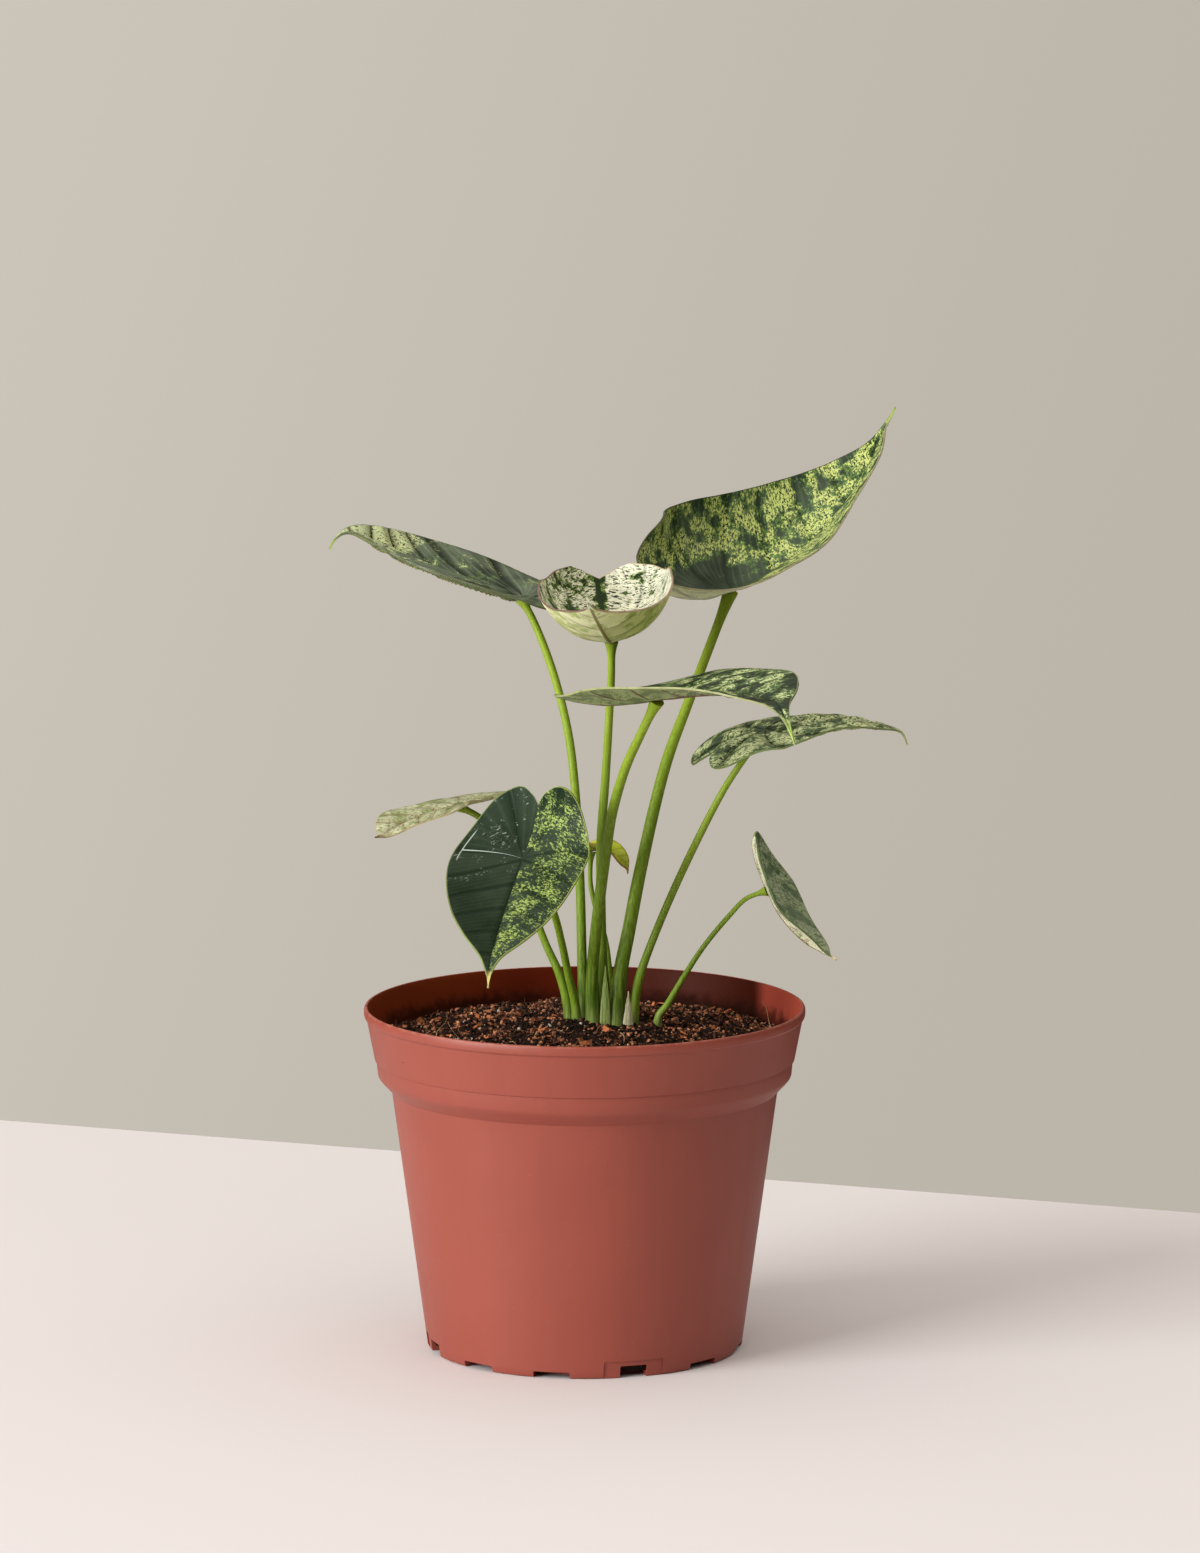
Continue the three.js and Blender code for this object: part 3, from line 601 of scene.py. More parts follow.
greens = dict(
    tall_left=dict(
        mint=((-0.07, 0.25), (-0.1, 0.25)), seat_green=12, relief=3.4, crease_shade=0.85, bloom_and_sheen=0.4,
        dark=(30, 44, 25), mid=(76, 100, 50), pale=(212, 220, 156), vein=(25, 36, 22),
        under=(112, 134, 78), edges=((92, 112, 60), (74, 84, 52)), tip=(150, 172, 78), lean=33,
        rib_bow=-9),
    tall_middle=dict(
        mint=((0.03, 0.04), (0.11, 0.13)), seat_green=5, relief=0.8, dark=(30, 46, 20),
        mid=(108, 136, 58), pale=(240, 240, 214), vein=(52, 66, 36), under=(230, 232, 190),
        edges=((120, 92, 82), (176, 150, 122)), tip=(226, 226, 196), fleck=(182, 194, 122),
        rib=(132, 112, 58), rib_width=0.7, sinus_green=2.6, streak=0.4),
    tall_right=dict(
        mint=((0.04, 0.01), (0.02, 0.01)), seat_green=21, relief=1.0, crease_shade=0.1, bloom_and_sheen=0.12,
        gap=0.032, dark=(23, 39, 21), mid=(79, 108, 45), pale=(196, 207, 118), vein=(25, 36, 22),
        under=(208, 214, 180), edges=((172, 168, 130), (52, 60, 34)), tip=(150, 178, 70)),
    middle=dict(
        mint=((0.0, 0.0), (-0.01, -0.05)), seat_green=8, relief=1.6, crease_shade=0.4, bloom_and_sheen=0.05,
        dark=(21, 32, 18), mid=(74, 97, 50), pale=(192, 206, 146), vein=(30, 43, 26),
        under=(158, 172, 118), edges=((158, 164, 112), (120, 130, 84)), tip=(160, 184, 92),
        fleck=(108, 126, 78), rib=(96, 40, 54), rib_width=2.2, side_rib=1.0, scatter=0.09,
        tip_reach=(4, 0, -4)),
    right=dict(
        mint=((0.04, 0.08), (0.02, 0.08)), seat_green=4, relief=2.2, crease_shade=0.7, bloom_and_sheen=0.2,
        dark=(27, 40, 20), mid=(84, 111, 50), pale=(216, 226, 166), vein=(27, 39, 20), scatter=0.08,
        under=(150, 172, 110), edges=((120, 140, 82), (96, 112, 66)), tip=(172, 190, 118),
        tip_from=0.84),
    front_left=dict(
        mint=((-0.24, -0.2), (0.02, 0.02)), seat_green=5, relief=0.6, crease_shade=0.06, bloom_and_sheen=0.06,
        gap=0.015, left_lobe=0.16, dark=(20, 37, 21), mid=(31, 50, 23), pale=(158, 180, 94),
        vein=(24, 39, 26), scatter=0.2, under=(150, 172, 112),
        edges=((128, 146, 84), (150, 166, 84)), tip=(214, 196, 120)),
    low_left=dict(
        mint=((0.05, 0.08), (0.05, 0.08)), seat_green=2, relief=0.7, crease_shade=0.25,
        dark=(112, 122, 78), mid=(146, 154, 106), pale=(196, 198, 162), vein=(126, 98, 70),
        under=(180, 186, 142), edges=((180, 170, 128), (180, 170, 128)), tip=(146, 104, 66)),
    low_right=dict(
        mint=((-0.2, -0.13), (0.04, 0.15)), seat_green=3, relief=0.5, crease_shade=0.1, bloom_and_sheen=0.35,
        dark=(70, 92, 60), mid=(112, 136, 90), pale=(190, 204, 160), vein=(110, 130, 96),
        under=(226, 224, 192), edges=((84, 108, 60), (158, 160, 78)), tip=(214, 188, 146),
        fleck=(118, 142, 82), paler=0.2),
    # The young leaf's own bright yellow-green is painted lighter still, to make up for the shade it
    # stands in.
    young=dict(
        mint=((-0.05, 0.0), (0.0, 0.05)), seat_green=0, relief=0.2, dark=(184, 202, 44),
        mid=(202, 214, 60), pale=(222, 224, 104), vein=(166, 180, 60), under=(210, 218, 84),
        edges=((160, 122, 56), (160, 122, 56)), tip=(184, 146, 64)),
)
# The painted highlights of front_left, silver lines, lie between these side veins behind the seat.
highlight_ribs = (-1.5, -0.55)


def half_outline(t, notch, fuller=0):
    """Right half of the flat outline in half widths and lengths, from the notch to the tip."""
    knots = np.array(outline_knots)
    knots[2] += (fuller, 0)
    knots[3] += (fuller * 0.6, -fuller * 0.5)
    knots[0, 1] = notch
    knots[1, 1] = -1 + notch_shoulder * (1 + notch)
    last = len(knots) - 1
    spot = t * last
    k = np.minimum(spot.astype(int), last - 1)
    w = (spot - k)[:, None]
    a, b, c, d = knots[np.maximum(k - 1, 0)], knots[k], knots[k + 1], knots[np.minimum(k + 2, last)]
    start, end = (c - a) / 2, (d - b) / 2
    return ((2 * b - 2 * c + start + end) * w ** 3 + (3 * c - 3 * b - 2 * start - end) * w ** 2
            + start * w + b)


def ribs(leaf, lean, x, y):
    """Counts the side veins: whole numbers lie on them, ahead of the seat and behind it."""
    wide = np.abs(x)
    swept = y - rib_sweep * wide ** 2 / (leaf["width"] / 2)
    ahead = swept - wide / tan(radians(lean))
    angle = np.degrees(np.arctan2(wide, swept))
    return np.where(ahead >= 0, ahead / (leaf["length"] / side_ribs),
                    (lean - angle) / lobe_rib_turn)


def blade_piece(leaf, tones, fine, finishes):
    """A sheet laid out flat, given its margin, pleated, bent into place and thickened."""
    columns, rows = (76, 190) if fine else (52, 120)
    select_nothing()
    bpy.ops.mesh.primitive_grid_add(x_subdivisions=columns, y_subdivisions=rows, size=2)
    obj = bpy.context.object
    obj.name = obj.data.name = f"blade_of_{leaf['name']}"
    mesh = obj.data
    flat = np.empty(len(mesh.vertices) * 3)
    mesh.vertices.foreach_get("co", flat)
    share, t = flat[0::3], (flat[1::3] + 1) / 2
    notch = leaf.get("notch", notch_at)
    edge = np.where((share < 0)[:, None], half_outline(t, notch, tones["left_lobe"]),
                    half_outline(t, notch))
    half = leaf["width"] / 2
    ends = np.where(edge[:, 1] >= 0, leaf["length"], leaf["lobes"])
    margin_x, margin_y = edge[:, 0] * half, edge[:, 1] * ends
    back = notch * leaf["lobes"]
    middle_y = back + (leaf["length"] - back) * t
    out = np.abs(share) ** crowding
    x = np.sign(share) * out * margin_x
    y = middle_y + out * (margin_y - middle_y)
    inset = (1 - out) * np.hypot(margin_x, margin_y - middle_y)

    bow = tones["rib_bow"] * soft_step(t, 0.25, 0.45) * (1 - soft_step(t, 0.7, 1))
    rib_x = x - bow * (1 - out)
    count = ribs(leaf, tones["lean"], rib_x, y)
    from_seat = np.hypot(x, y)
    # The pleats die out towards the seat, the midrib, the tip and the margin.
    bulge = np.abs(np.sin(pi * count)) ** 0.8 - 0.45
    fade = (soft_step(from_seat, 2, 14) * soft_step(np.abs(rib_x), 0.5, 6)
            * soft_step(margin_x, 1, 12) * (1 - out ** 5))
    groove = (-groove_depth * np.exp(-(rib_x / groove_width) ** 2)
              * soft_step(y, 0, 10) * soft_step(margin_x, 0, 6))
    swell = np.sin(pi * t) * np.sin(2 * pi * edge_waves * t + leaf["heading"])
    relief = tones["relief"] * bulge * fade + groove + leaf["wave"] * out ** 3 * swell
    placed = bent(leaf, x, y) + facing(leaf, x, y) * relief[:, None]
    drawn_out = soft_step(y, 0.86 * leaf["length"], 1.08 * leaf["length"])
    placed = placed + np.outer(drawn_out, tones["tip_reach"])
    mesh.vertices.foreach_set("co", (placed * MM).ravel())

    v = soft_step(y, 0.35 * leaf["length"], 0.95 * leaf["length"])
    (right_seat, right_tip), (left_seat, left_tip) = tones["mint"]
    mint = np.where(x >= 0, right_seat + (right_tip - right_seat) * v,
                    left_seat + (left_tip - left_seat) * v)
    green = tones["seat_green"]
    mint = mint - 0.22 * (1 - soft_step(from_seat, 0.6 * green, 1.2 * green + 0.1))
    sinus = tones["sinus_green"]
    in_sinus = (1 - soft_step(np.abs(x), 0.5 * sinus, sinus + 0.1)) * (1 - soft_step(y, -9, 0))
    mint = mint - 0.16 * in_sinus
    # Places along and across the side veins, because the speckle is drawn out along them.
    swept = y - rib_sweep * x ** 2 / half
    slant = radians(tones["lean"])
    drawn = np.stack([swept * sin(slant) - np.abs(x) * cos(slant),
                      np.abs(x) * sin(slant) + swept * cos(slant), np.sign(x) * 40], 1)
    for name, values in (("rib", count), ("inset", inset), ("mint", mint), ("flat_x", rib_x),
                         ("flat_y", y)):
        mesh.attributes.new(name, "FLOAT", "POINT").data.foreach_set("value", values)
    mesh.attributes.new("drawn", "FLOAT_VECTOR", "POINT").data.foreach_set(
        "vector", drawn.ravel())

    only(obj)
    bpy.ops.object.mode_set(mode="EDIT")
    bpy.ops.mesh.select_all(action="SELECT")
    bpy.ops.mesh.remove_doubles(threshold=0.00001)
    bpy.ops.object.mode_set(mode="OBJECT")
    for finish in finishes:
        mesh.materials.append(finish)
    worked(obj, "SOLIDIFY", thickness=blade_thickness * MM, offset=0, material_offset=1,
           material_offset_rim=2)
    bpy.ops.object.shade_smooth_by_angle(angle=radians(60))
    return obj


def margin_colour(flat_x, tones):
    right, left = tones["edges"]
    return flat_x.ease(-0.1, 0.1).blend(paint(*left), paint(*right))


def blade_finish(leaf, tones, seed, upper):
    """The speckled upper side with its sunk veins, or the under side with its raised ribs."""
    side = "upper" if upper else "under"
    material, shader, base, place = new_finish(f"blade_{side}_{leaf['name']}")
    rib, inset, mint = base.stored("rib"), base.stored("inset"), base.stored("mint")
    flat_x, flat_y = base.stored("flat_x"), base.stored("flat_y")
    drawn = base.stored("drawn", 1)

    def tint(name, shade=1):
        return paint(*[c * shade for c in tones[name]])

    broad = drawn.stretch(0.14, 0.13, 1, (seed, 0, 0)).grain(1, 4, 0.62) - 0.5
    streak = tones["streak"]
    fine = drawn.stretch(1.15, streak, 1, (0, seed, 0)).grain(1, 3, 0.7, 0.6) - 0.5
    clouds = drawn.stretch(0.05, 0.05, 1, (0, 0, seed)).grain(1)
    cells = place.grain(1600, 2) * 0.00005 + place.grain(380) * 0.0003
    off_rib = abs(rib.math("FRACT", rib + 10) - 0.5)
    rib_gap = leaf["length"] / side_ribs
    at_tip = (flat_y + clouds * 3).ease(
        leaf["length"] * tones["tip_from"], leaf["length"] * 0.985)
    if upper:
        gaps = drawn.stretch(1.2, streak, 1, (seed, seed, 0)).grain(1, 3, 0.6, 0.6) - 0.5
        cover = (broad + mint).ease(-tones["scatter"], tones["scatter"])
        mid = (broad + fine * 0.35 + mint).ease(-0.045, -0.025)
        pale = (fine + cover * 0.26 + mint * 0.6).ease(0.205, 0.22)
        bare = (gaps - mint * 0.1).ease(tones["gap"], tones["gap"] + 0.015) * cover
        near_rib = off_rib.ease(0.5 - 0.4 / rib_gap, 0.5 - 0.12 / rib_gap)
        beside_rib = off_rib.ease(0.5 - 2.2 / rib_gap, 0.5)
        on_middle = abs(flat_x).ease(0.7, 0.25) * flat_y.ease(-1, 2)
        veins = near_rib.math("MAXIMUM", near_rib, on_middle)
        near_edge = inset.ease(3, 2.7) * inset.ease(2.3, 2.6)
        # Painted sheen greys the bulges between the side veins, partly as a waxy bloom, and lays
        # light lines on the fine pleats.
        painted_sheen_and_bloom = (1 - beside_rib) * clouds.ease(0.3, 0.6) * tones["bloom_and_sheen"]
        painted_pleat_sheen = abs(rib.math("FRACT", rib * 6 + 60) - 0.5).ease(0.25, 0.5) * (1 - pale)
        mint_pale = broad.ease(-0.1, 0.15).blend(tint("pale", 0.86), tint("pale"))
        # Painted shade darkens the creases beside the side veins.
        colour = layered(
            tint("dark"), (clouds, tint("dark", 1.18)), (mid, tint("mid")), (pale, mint_pale),
            (bare, tint("dark")), (painted_sheen_and_bloom, paint(150, 166, 140)),
            (painted_pleat_sheen * tones["bloom_and_sheen"] * 0.5, paint(166, 180, 148)),
            (beside_rib * tones["crease_shade"], tint("vein")),
            (veins * 0.75 * (1 - pale * 0.6), tint("vein")),
            (near_edge * 0.3 * (1 - pale), tint("vein")))
        # front_left gets painted highlights: silver lines along side veins on its dark half, and
        # pale dots.
        if leaf["name"] == "front_left":
            on_lobe = rib.ease(highlight_ribs[0], highlight_ribs[0] + 0.15) * rib.ease(
                highlight_ribs[1], highlight_ribs[1] - 0.15) * flat_x.ease(0.0, 0.5)
            dots = gaps.ease(0.1, 0.12) * broad.ease(0.02, 0.08) * rib.ease(0.6, 0.2)
            lines = near_edge.math("MAXIMUM", near_rib * inset.ease(2.4, 2.6), near_edge)
            painted_highlights = on_lobe * lines + dots * 0.5 * flat_x.ease(0.0, 1.0)
            colour = painted_highlights.blend(colour, paint(186, 198, 188))
        rough = 0.38 + clouds * 0.12 + mid * 0.06
        height = cells - beside_rib * 0.00015 - veins * 0.0002
        feed(shader, Specular_IOR_Level=0.12)
        if leaf["name"] == "tall_middle":
            # This one is nearly white, and light shines through it.
            feed(shader, Subsurface_Weight=0.5, Subsurface_Radius=(1.0, 1.0, 0.7),
                 Subsurface_Scale=0.8 * MM)
    else:
        side_rib = off_rib.ease(0.5 - 1 / rib_gap, 0.5 - 0.45 / rib_gap) * tones["side_rib"]
        midrib = abs(flat_x).ease(tones["rib_width"], 0.4)
        raised_rib = side_rib.math("MAXIMUM", side_rib, midrib) * inset.ease(0.5, 3)
        fleck = tint("fleck") if "fleck" in tones else tint("under", 0.84)
        plain = (broad + fine * 0.5 + mint * 0.5 + tones["paler"]).ease(-0.04, 0.04)
        colour = layered(fleck, (plain, tint("under")), (raised_rib * 0.85, tint("rib")))
        rough = 0.5 + clouds * 0.1
        height = cells + raised_rib * 0.0004
        feed(shader, Subsurface_Weight=0.6, Subsurface_Radius=(1.0, 1.0, 0.6),
             Subsurface_Scale=1.5 * MM)
    at_margin = inset.ease(0.5, 0.15) * 0.85
    colour = layered(colour, (at_tip, tint("tip")), (at_margin, margin_colour(flat_x, tones)))
    feed(shader, Base_Color=colour, Roughness=rough, Normal=base.bump(height, 0.55))
    return material


def margin_finish(leaf, tones):
    """The blade's thin rim, in the colours of its two margins and of its tip."""
    material, shader, base, place = new_finish(f"margin_{leaf['name']}")
    mottle = place.grain(300).ease(0.35, 0.65)
    at_tip = base.stored("flat_y").ease(
        leaf["length"] * (tones["tip_from"] - 0.01), leaf["length"] * 0.97)
    colour = layered(margin_colour(base.stored("flat_x"), tones),
                     (mottle * 0.4, paint(96, 84, 56)), (at_tip, paint(*tones["tip"])))
    feed(shader, Base_Color=colour, Normal=base.bump(place.grain(900, 2) * 0.00008, 0.5),
         Roughness=0.45)
    return material


for number, leaf in enumerate(leaves):
    tones = {**usual, **greens[leaf["name"]]}
    seed = 3.7 + 5.3 * number
    finishes = (blade_finish(leaf, tones, seed, True), blade_finish(leaf, tones, seed, False),
                margin_finish(leaf, tones))
    blade = blade_piece(leaf, tones, leaf["length"] > 50, finishes)
    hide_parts(f"blade_{leaf['name']}")
    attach(blade, "root")


# Bracts
# Thin pointed scales between the stalks, rooted in the crown, where they sheathed young leaves.
# The taller one is still green, and the other has dried to pale paper, with fine veins.
bracts = [
    dict(name="bract_middle", foot=(7, -7.2), turn=-90, width=3.6, height=20, radius=4),
    dict(name="bract_right", foot=(14.8, -6.4), turn=-80, width=3.6, height=11, radius=4),
]
bract_rooted = 106
crown_height = 112.5
bract_thickness = 0.35


def bract_piece(bract):
    """A strip narrowed to a point, bowed round an upright axis, its tip leaning out."""
    select_nothing()
    bpy.ops.mesh.primitive_grid_add(x_subdivisions=16, y_subdivisions=48, size=2)
    obj = bpy.context.object
    obj.name = obj.data.name = f"{bract['name']}_scale"
    axis_turn = radians(bract["turn"])
    rise = crown_height + bract["height"] - bract_rooted
    for vertex in obj.data.vertices:
        share, high = vertex.co.x, (vertex.co.y + 1) / 2
        z = bract_rooted + rise * high
        narrow = max(0.02, 1 - max(0, (high - 0.3) / 0.7) ** 1.4)
        frayed = 1 + 0.12 * noise.noise(Vector((high * 9, bract["turn"], 0))) * abs(share)
        bow = share * narrow * frayed * bract["width"] / 2 / bract["radius"] + axis_turn
        crimp = 0.12 * noise.noise(Vector((share * 2, high * 14, 3)))
        r = bract["radius"] + crimp + 0.25 * max(0, high - 0.5) ** 2
        x = bract["foot"][0] + r * cos(bow) - bract["radius"] * cos(axis_turn)
        y = bract["foot"][1] + r * sin(bow) - bract["radius"] * sin(axis_turn)
        vertex.co = Vector((x, y, z)) * MM
    worked(obj, "SOLIDIFY", thickness=bract_thickness * MM, offset=0)
    bpy.ops.object.shade_smooth()
    return obj


def bract_skin(name, dark, light, upper):
    """Fine lengthwise veins, from dark to light, and another colour towards the tip."""
    material, shader, base, place = new_finish(name)
    lines = place.stretch(2600, 2600, 60).grain(1)
    high = (place.part(2) + lines * 0.006).ease(0.118, 0.134) * 0.7
    colour = layered(dark, (lines.ease(0.35, 0.65), light), (high, upper))
    feed(shader, Base_Color=colour, Normal=base.bump(lines * 0.00012, 0.6),
         Alpha=0.86 + lines * 0.14, Roughness=0.6)
    return material


bract_skins = (
    bract_skin("living_sheath", paint(96, 118, 48), paint(150, 164, 92), paint(126, 146, 60)),
    bract_skin("dry_bract_paper", paint(168, 164, 124), paint(206, 202, 166),
               paint(176, 160, 112)),
)
for bract, skin in zip(bracts, bract_skins):
    scale = bract_piece(bract)
    scale.data.materials.append(skin)
    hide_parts(bract["name"])
    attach(scale, "root")


# Potting mix
# Peat, composted bark and coir fibre with a little perlite, poured round the roots and
# mounded against the stalks. Its crumbs, chips and fibres lie loose on top.
soil_edge = 105
soil_crown = 112.5
soil_slope = 1.6
soil_gap = 0.3
edge_radius = 72.2
soil_radius = edge_radius - pot_wall
lump_height = 1.9
lump_scale = 0.07
crumb_height = 1.3
crumb_scale = 0.22
chance = Random(7)


def soil_height(x, y):
    """Height of the mix at a place in mm: a low mound with lumps and hollows."""
    out = min(1, (x * x + y * y) ** 0.5 / edge_radius)
    mound = soil_crown + (soil_edge - soil_crown) * out ** soil_slope
    lumps = lump_height * noise.noise(Vector((x * lump_scale, y * lump_scale, 2)))
    crumbs = crumb_height * noise.noise(Vector((x * crumb_scale, y * crumb_scale, 5)))
    return mound + (lumps + crumbs) * min(1, (1 - out) * 8 + 0.25)


soil_profile = [
    (body_radius(pot_floor) - pot_wall - soil_gap - 0.8, pot_floor + soil_gap),
    (body_radius(4) - pot_wall - soil_gap, 4),
    (body_radius(45) - pot_wall - soil_gap, 45),
    (body_top[0] - pot_wall - soil_gap, body_top[1] + soil_gap),
    (collar_foot[0] - pot_wall - soil_gap, collar_foot[1] + soil_gap),
    (soil_radius, soil_edge),
]
soil_rings = 46
soil_sides = 144
for ring in range(1, soil_rings):
    soil_profile.append((soil_radius * (1 - ring / soil_rings), soil_edge))
mix = turned("potting_mix_bed", soil_profile, soil_sides)
for vertex in mix.data.vertices:
    if vertex.co.z > (soil_edge - 0.01) * MM:
        vertex.co.z = soil_height(vertex.co.x / MM, vertex.co.y / MM) * MM
only(mix)
bpy.ops.object.shade_smooth()


def loose_finish(name, dark, light, rough=0.85):
    """Loose bits that each have a shade of their own, from dark to light."""
    material, shader, base, place = new_finish(name)
    shade = base.stored("shade")
    tone = shade * shade * shade * 1.2 + place.grain(1500) * 0.5 - 0.12
    colour = tone.ease(0.1, 0.9).blend(dark, light)
    grit = place.grain(2200) * 0.00025
    feed(shader, Base_Color=colour, Normal=base.bump(grit, 0.8), Roughness=rough,
         Specular_IOR_Level=0.15)
    return material


def bed_finish():
    """Dark moist peat between the loose bits."""
    material, shader, base, place = new_finish("peat_bed")
    fine = place.grain(900, 6, 0.7)
    broad = place.grain(160)
    colour = layered(paint(10, 5, 3), (fine.ease(0.35, 0.7), paint(48, 28, 18)),
                     (broad.ease(0.5, 0.7) * 0.5, paint(66, 39, 26)))
    feed(shader, Base_Color=colour, Normal=base.bump(fine * 0.0012, 1.0), Roughness=0.9,
         Specular_IOR_Level=0.15)
    return material


mix.data.materials.append(bed_finish())


def pattern_mesh(add, deform):
    """Makes one small bit with a primitive, shapes it, and gives its points and faces."""
    select_nothing()
    add()
    obj = bpy.context.object
    places = [deform(Vector(v.co)) for v in obj.data.vertices]
    faces = [tuple(p.vertices) for p in obj.data.polygons]
    bpy.data.objects.remove(obj, do_unlink=True)
    return np.array(places), faces


def strewn(name, patterns, spots, finish):
    """Copies of the patterns at (place, turn, size) spots, as one piece with its own mesh."""
    points, faces, shades = [], [], []
    start = 0
    for place, turn, size in spots:
        bit, bit_faces = patterns[chance.randrange(len(patterns))]
        moved = bit * size @ np.array(turn).T + place
        points.append(moved)
        faces += [tuple(start + i for i in face) for face in bit_faces]
        darkening = 0.5 + 0.9 * noise.noise(Vector((place[0] * 0.16, place[1] * 0.16, 8)))
        shades += [chance.random() * min(1, max(0.5, 1.35 - darkening))] * len(bit)
        start += len(bit)
    mesh = bpy.data.meshes.new(name)
    mesh.from_pydata((np.concatenate(points) * MM).tolist(), [], faces)
    mesh.attributes.new("shade", "FLOAT", "POINT").data.foreach_set("value", shades)
    obj = put_in_scene(name, mesh)
    mesh.materials.append(finish)
    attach(obj, "root")


def ball():
    bpy.ops.mesh.primitive_ico_sphere_add(subdivisions=1, radius=0.5)


def block():
    bpy.ops.mesh.primitive_cube_add(size=1)
    bpy.ops.object.mode_set(mode="EDIT")
    bpy.ops.mesh.subdivide(number_cuts=1)
    bpy.ops.object.mode_set(mode="OBJECT")


def knobbly(seed):
    return lambda p: p * (1 + 0.9 * noise.noise(p * 1.7 + Vector((seed, 0, 0))))


def chipped(seed):
    flat = Matrix.Diagonal((1, 0.45 + 0.1 * seed, 0.22))
    return lambda p: flat @ (p * (1 + 0.7 * noise.noise(p * 1.3 + Vector((0, seed, 0)))))


crumb_patterns = [pattern_mesh(ball, knobbly(k * 3.1)) for k in range(5)]
chip_patterns = [pattern_mesh(block, chipped(k)) for k in range(4)]


def any_turn():
    axis = Vector([chance.gauss(0, 1) for k in range(3)])
    return Matrix.Rotation(chance.uniform(0, 2 * pi), 3, axis)


def lying_turn():
    tilt = 0.35
    lean = Matrix.Rotation(chance.gauss(0, tilt), 3, "X")
    lean = lean @ Matrix.Rotation(chance.gauss(0, tilt), 3, "Y")
    return Matrix.Rotation(chance.uniform(0, 2 * pi), 3, "Z") @ lean


def strew_spots(count, sizes, turn, sink=0.15, clump=0.0):
    """Random places on the mix, with sizes in mm between the two given; clump leaves gaps."""
    spots = []
    while len(spots) < count:
        out = (soil_radius - 1.2) * chance.random() ** 0.5
        angle = chance.uniform(0, 2 * pi)
        x, y = out * cos(angle), out * sin(angle)
        patch = noise.noise(Vector((x * lump_scale, y * lump_scale, 11)))
        if clump and patch < chance.uniform(-clump, clump):
            continue
        size = sizes[0] + (sizes[1] - sizes[0]) * chance.random() ** 2.2
        lift = size * (0.5 - sink) * 0.6
        spots.append(((x, y, soil_height(x, y) + lift), turn(), size))
    return spots


strewn("peat_crumbs", crumb_patterns, strew_spots(9000, (0.45, 1.5), any_turn),
       loose_finish("peat_crumb", paint(14, 8, 5), paint(196, 132, 98)))
strewn("bark_grit", crumb_patterns, strew_spots(3200, (0.35, 1.1), any_turn, -0.2, 0.4),
       loose_finish("bark_grit", paint(78, 40, 25), paint(240, 172, 130)))
strewn("bark_chips", chip_patterns, strew_spots(1100, (0.8, 2.9), lying_turn, clump=0.5),
       loose_finish("bark_chip", paint(26, 13, 8), paint(196, 118, 74)))
strewn("perlite_grains", crumb_patterns, strew_spots(110, (0.4, 1.3), any_turn, 0.1),
       loose_finish("perlite", paint(186, 178, 166), paint(238, 234, 226), 0.7))


def fibre(bend, width):
    """A thin bent fibre of length 1 along +X, three sided."""
    bits = 6
    points, faces = [], []
    for k in range(bits + 1):
        share = k / bits
        middle = Vector((share - 0.5, bend * sin(pi * share), 0.5 * bend * sin(2 * pi * share)))
        thin = width * (1 - 0.6 * share)
        for side in range(3):
            angle = 2 * pi * side / 3
            points.append(middle + Vector((0, thin * cos(angle), thin * sin(angle))))
        if k:
            for side in range(3):
                after = (side + 1) % 3
                low, high = 3 * (k - 1), 3 * k
                faces.append((low + side, low + after, high + after, high + side))
    faces += [(2, 1, 0), (3 * bits, 3 * bits + 1, 3 * bits + 2)]
    return np.array(points), faces


fibre_patterns = [fibre(0.16 * (k - 1.5), 0.014 + 0.003 * k) for k in range(4)]
straw_spots = strew_spots(260, (2.5, 9.0), lying_turn, sink=0.42)
standing_straws = [
    (-48, -10, 11, 76, 20), (-44, -24, 9, 62, 200), (-41, -16, 7, 80, 90), (-27, 20, 8, 50, 300),
    (-12, 16, 9, 20, 150), (63, 6, 13, 66, 205), (-55, 4, 6, 55, 120), (34, -22, 6, 30, 40)]
for x, y, size, lean, turn in standing_straws:
    stand = Matrix.Rotation(radians(turn), 3, "Z") @ Matrix.Rotation(radians(-lean), 3, "Y")
    straw_spots.append(((x, y, soil_height(x, y) + size * 0.4 * sin(radians(lean))), stand, size))
strewn("coir_fibres", fibre_patterns, straw_spots,
       loose_finish("coir_fibre", paint(120, 78, 46), paint(206, 168, 118), 0.7))
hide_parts("potting_mix")
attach(mix, "root")
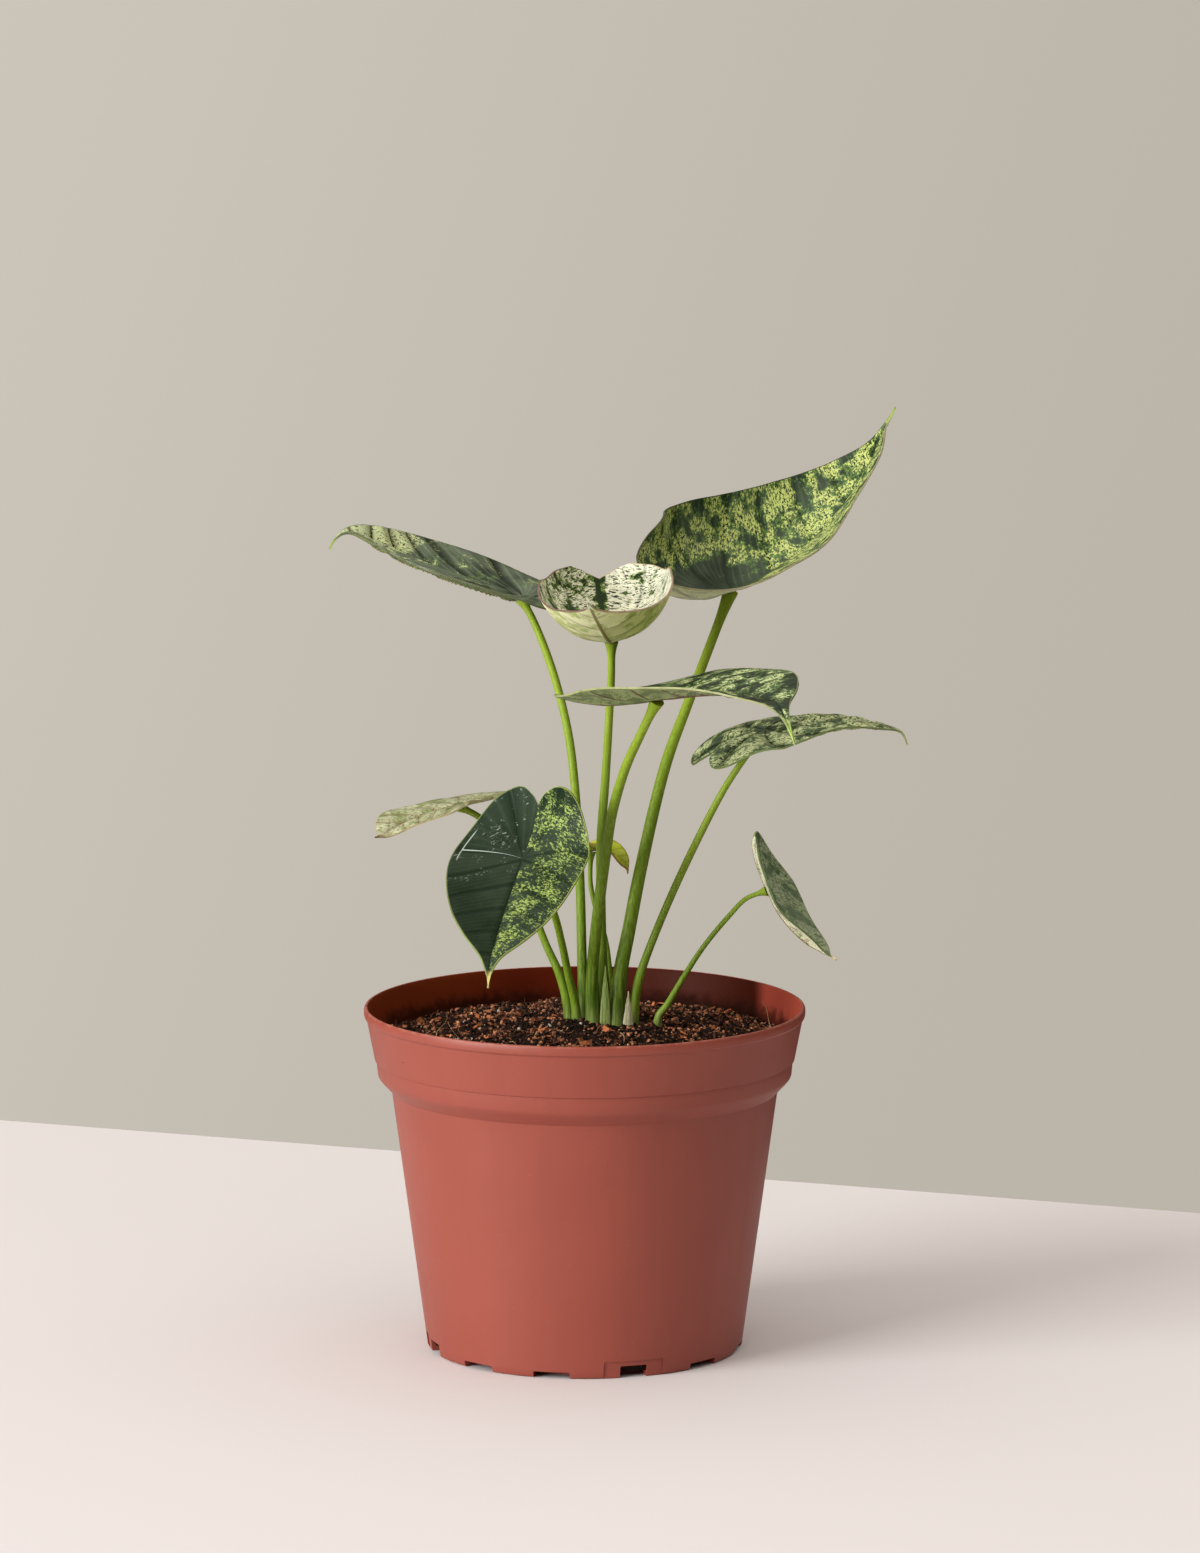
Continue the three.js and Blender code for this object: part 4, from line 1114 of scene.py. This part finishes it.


# Studio
# A pale table top that ends behind the pot, lit by one large soft lamp from the left and front,
# with a weak lamp in front and even light from overhead. Behind it is warm grey air, painted
# with shade that darkens it towards the right.
# The camera looks slightly down from the front.
table_turn = radians(-20.6)
table_back = (-2, 295)
table_size = 2400
select_nothing()
bpy.ops.mesh.primitive_plane_add(size=1)
table = bpy.context.object
table.name = "table_top"
turn = Matrix.Rotation(table_turn, 4, "Z")
away = Vector((-sin(table_turn), cos(table_turn), 0))
middle = Vector((*table_back, 0)) - away * table_size / 2
table.data.transform(Matrix.Translation(middle * MM) @ turn @ Matrix.Scale(table_size * MM, 4))
paper_top, shader, base, place = new_finish("table_top")
feed(shader, Base_Color=place.grain(3, 2).blend(paint(221, 217, 217), paint(225, 221, 221)),
     Roughness=0.75, Specular_IOR_Level=0.2)
table.data.materials.append(paper_top)

world = bpy.data.worlds.new("studio_air")
bpy.context.scene.world = world
world.use_nodes = True
air = Wire(world.node_tree)
way = air.node("ShaderNodeTexCoord", output=0)
across_view, up_view = way.part(0), way.part(2)
# The air seen behind is painted with shade, darker towards the right and lower down.
painted_backdrop_shade = (across_view - up_view * 0.35).ease(-0.12, 0.14).blend(
    paint(206, 199, 188), paint(188, 181, 170))
seen = air.node("ShaderNodeBackground", {}, {0: painted_backdrop_shade, 1: 1.0})
from_above = up_view.ease(0.2, 1.0)
ambient = air.node("ShaderNodeBackground", {}, {
    0: paint(238, 229, 221), 1: 0.03 + from_above * 1.45})
camera_ray = air.node("ShaderNodeLightPath", output=0)
both = air.node("ShaderNodeMixShader", {}, {0: camera_ray, 1: ambient, 2: seen})
world.node_tree.links.new(both.socket, world.node_tree.nodes["World Output"].inputs[0])

focus = Vector((0, 0, 0.15))


def lamp(name, way, distance, size, power, colour):
    """A square soft lamp that stands off from the plant and faces it."""
    light = bpy.data.lights.new(name, "AREA")
    light.size = size
    light.energy = power
    light.color = colour
    obj = put_in_scene(name, light)
    obj.location = focus + Vector(way).normalized() * distance
    obj.rotation_euler = (focus - obj.location).to_track_quat("-Z", "Y").to_euler()


lamp("key_lamp", (-0.83, -0.56, 0.30), 4.5, 2.6, 262, (1.0, 0.99, 0.975))
lamp("fill_lamp", (0.2, -1.0, 0.9), 2.2, 1.6, 2, (1.0, 1.0, 1.0))

camera_distance = 2500
camera_rise = radians(8.86)
camera_target = Vector((5.2, 0, 196.2))
photo_height = 1553
focal_pixels = 7390
lens = bpy.data.cameras.new("camera")
lens.sensor_width = 36
lens.lens = focal_pixels * lens.sensor_width / photo_height
lens.clip_end = 50
camera = put_in_scene("camera", lens)
back = Vector((0, -cos(camera_rise), sin(camera_rise)))
camera.location = (camera_target + back * camera_distance) * MM
camera.rotation_euler = back.to_track_quat("Z", "Y").to_euler()
bpy.context.scene.camera = camera
bpy.context.scene.view_settings.view_transform = "Standard"
